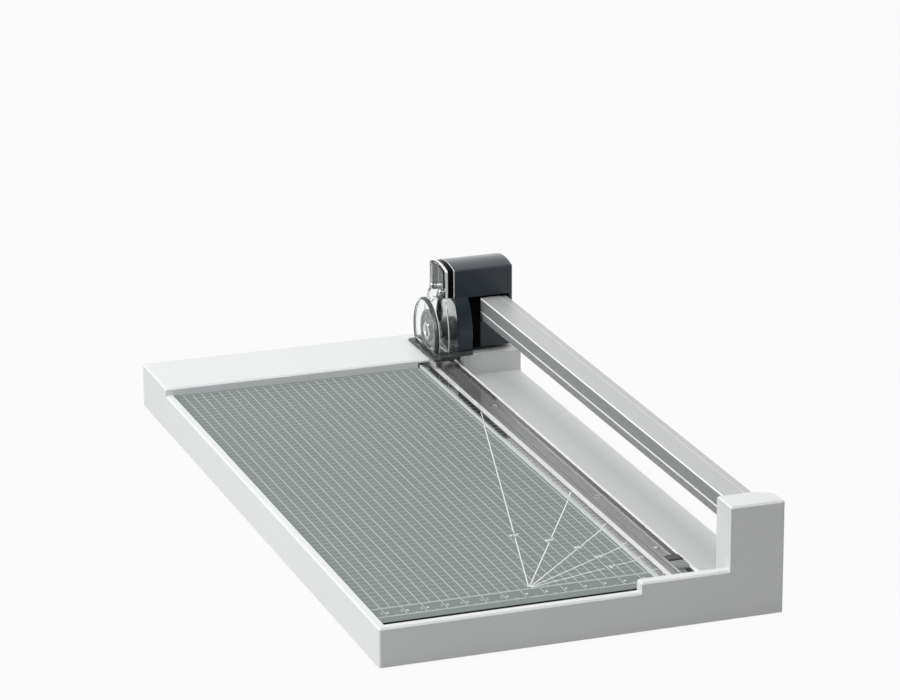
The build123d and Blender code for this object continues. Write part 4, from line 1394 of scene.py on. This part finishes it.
@dataclass
class Studio:
    """Pale floor, white surroundings, two lamps and the camera.

    Where they are mirrored, the surroundings are darker to the right and where the camera stands.
    """

    floor_half: float = 6.0
    floor_tone: float = 0.42
    floor_roughness: float = 0.9
    floor_glow: float = 0.94
    fill: float = 0.28
    camera_side: float = 0.12
    camera_from: float = -0.15
    camera_to: float = -0.75
    low_sky: float = 1.05
    low_to: float = 0.38
    high_from: float = 0.85
    right_side: float = 0.15
    right_from: float = 0.37
    right_to: float = 0.47
    camera_place: Triple = (-0.6707, -1.8932, 0.7413)
    azimuth: float = -19.647
    elevation: float = 18.142
    roll: float = -0.208
    lens: float = 165.31
    sensor: float = 36.0

    def dimmed(self, wire: Wiring, depth: Socket) -> Socket:
        """Returns how bright a mirrored part of the room is: it falls along -Y, towards the camera."""
        return wire.remap(depth, (self.camera_to, self.camera_from), (self.camera_side, 1.0))

    def shown(self, wire: Wiring, mirrored: Socket) -> tuple[Socket, Socket]:
        """Tells the rays that show the surroundings from those that only bring light.

        Args:
            wire: the wiring of the tree.
            mirrored: brightness for rays that are mirrored or go through glass.

        Returns:
            A mask of the rays that show the surroundings, and their brightness: 1 to the camera.
        """
        path = wire.add("ShaderNodeLightPath").outputs
        bent = wire.math("MAXIMUM", path["Is Glossy Ray"], path["Is Transmission Ray"])
        return tuple(wire.math("MAXIMUM", value, path["Is Camera Ray"]) for value in (bent, mirrored))

    def world(self) -> None:
        """Makes the surroundings: bright where they are seen, and a soft fill for everything else."""
        world = bpy.data.worlds.new("studio")
        world.use_nodes = True
        wire = Wiring(world.node_tree)
        way = wire.parts(wire.add("ShaderNodeTexCoord").outputs["Generated"])
        rise = wire.remap(way["Z"], (self.low_to, self.high_from), (self.low_sky, 1.0))
        right = wire.remap(way["X"], (self.right_from, self.right_to), (1.0, self.right_side))
        mirrored = wire.math("MULTIPLY", wire.math("MULTIPLY", rise, right), self.dimmed(wire, way["Y"]))
        shown, bright = self.shown(wire, mirrored)
        strength = wire.mix(shown, self.fill, bright)
        wire.feed(wire.tree.nodes["Background"], {"Color": (1.0, 1.0, 1.0, 1.0), "Strength": strength})
        bpy.context.scene.world = world

    def floor(self) -> None:
        """Lays the pale floor, which glows where it is seen and keeps the shadow."""
        half, tone = self.floor_half, self.floor_tone
        corners = np.array([[-half, -half, 0.0], [half, -half, 0.0], [half, half, 0.0], [-half, half, 0.0]])
        material, wire, shader = new_material("pale_floor")
        wire.feed(shader, {
            "Base Color": (tone, tone, tone, 1.0),
            "Roughness": self.floor_roughness,
            "Specular IOR Level": 0.0,
        })
        shown, bright = self.shown(wire, self.dimmed(wire, wire.parts(wire.place())["Y"]))
        glow = wire.add("ShaderNodeEmission", {"Strength": bright})
        wire.mix_surface(wire.math("MULTIPLY", shown, self.floor_glow), shader, glow)
        new_piece("floor", (corners, [[0, 1, 2, 3]]), material)

    def camera(self) -> None:
        """Sets the camera where the photograph was taken from.

        With azimuth a and elevation e it looks back along (sin a cos e, -cos a cos e, sin e), with its
        right side along (cos a, sin a, 0), and it is turned about that line by the roll.
        """
        a, e, r = radians(self.azimuth), radians(self.elevation), radians(self.roll)
        back = Vector((sin(a) * cos(e), -cos(a) * cos(e), sin(e)))
        right = Vector((cos(a), sin(a), 0.0))
        up = back.cross(right)
        turned_right = right * cos(r) + up * sin(r)
        turned_up = up * cos(r) - right * sin(r)
        lens = bpy.data.cameras.new("camera")
        lens.lens = self.lens
        lens.sensor_width = self.sensor
        turn = Matrix((turned_right, turned_up, back)).transposed().to_4x4()
        holder = linked("camera", lens)
        holder.matrix_world = Matrix.Translation(self.camera_place) @ turn
        bpy.context.scene.camera = holder

    def build(self) -> None:
        """Sets up the whole studio."""
        bpy.context.scene.view_settings.view_transform = "Standard"
        self.world()
        self.floor()
        for lamp in LAMPS:
            lamp.hang()
        self.camera()


def main() -> None:
    """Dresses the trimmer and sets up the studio."""
    logging.basicConfig(level=logging.INFO, format="%(name)s %(message)s")
    dress_nodes()
    for assembly in (BedPrint, ClampEdge, CoverRims, SkidFrame, FenceLid, DrumPlate):
        assembly().build()
    plated = SCREW_STEEL.material()
    for screws in SCREWS:
        screws.build(plated)
    Studio().build()


if __name__ == "__main__":
    main()
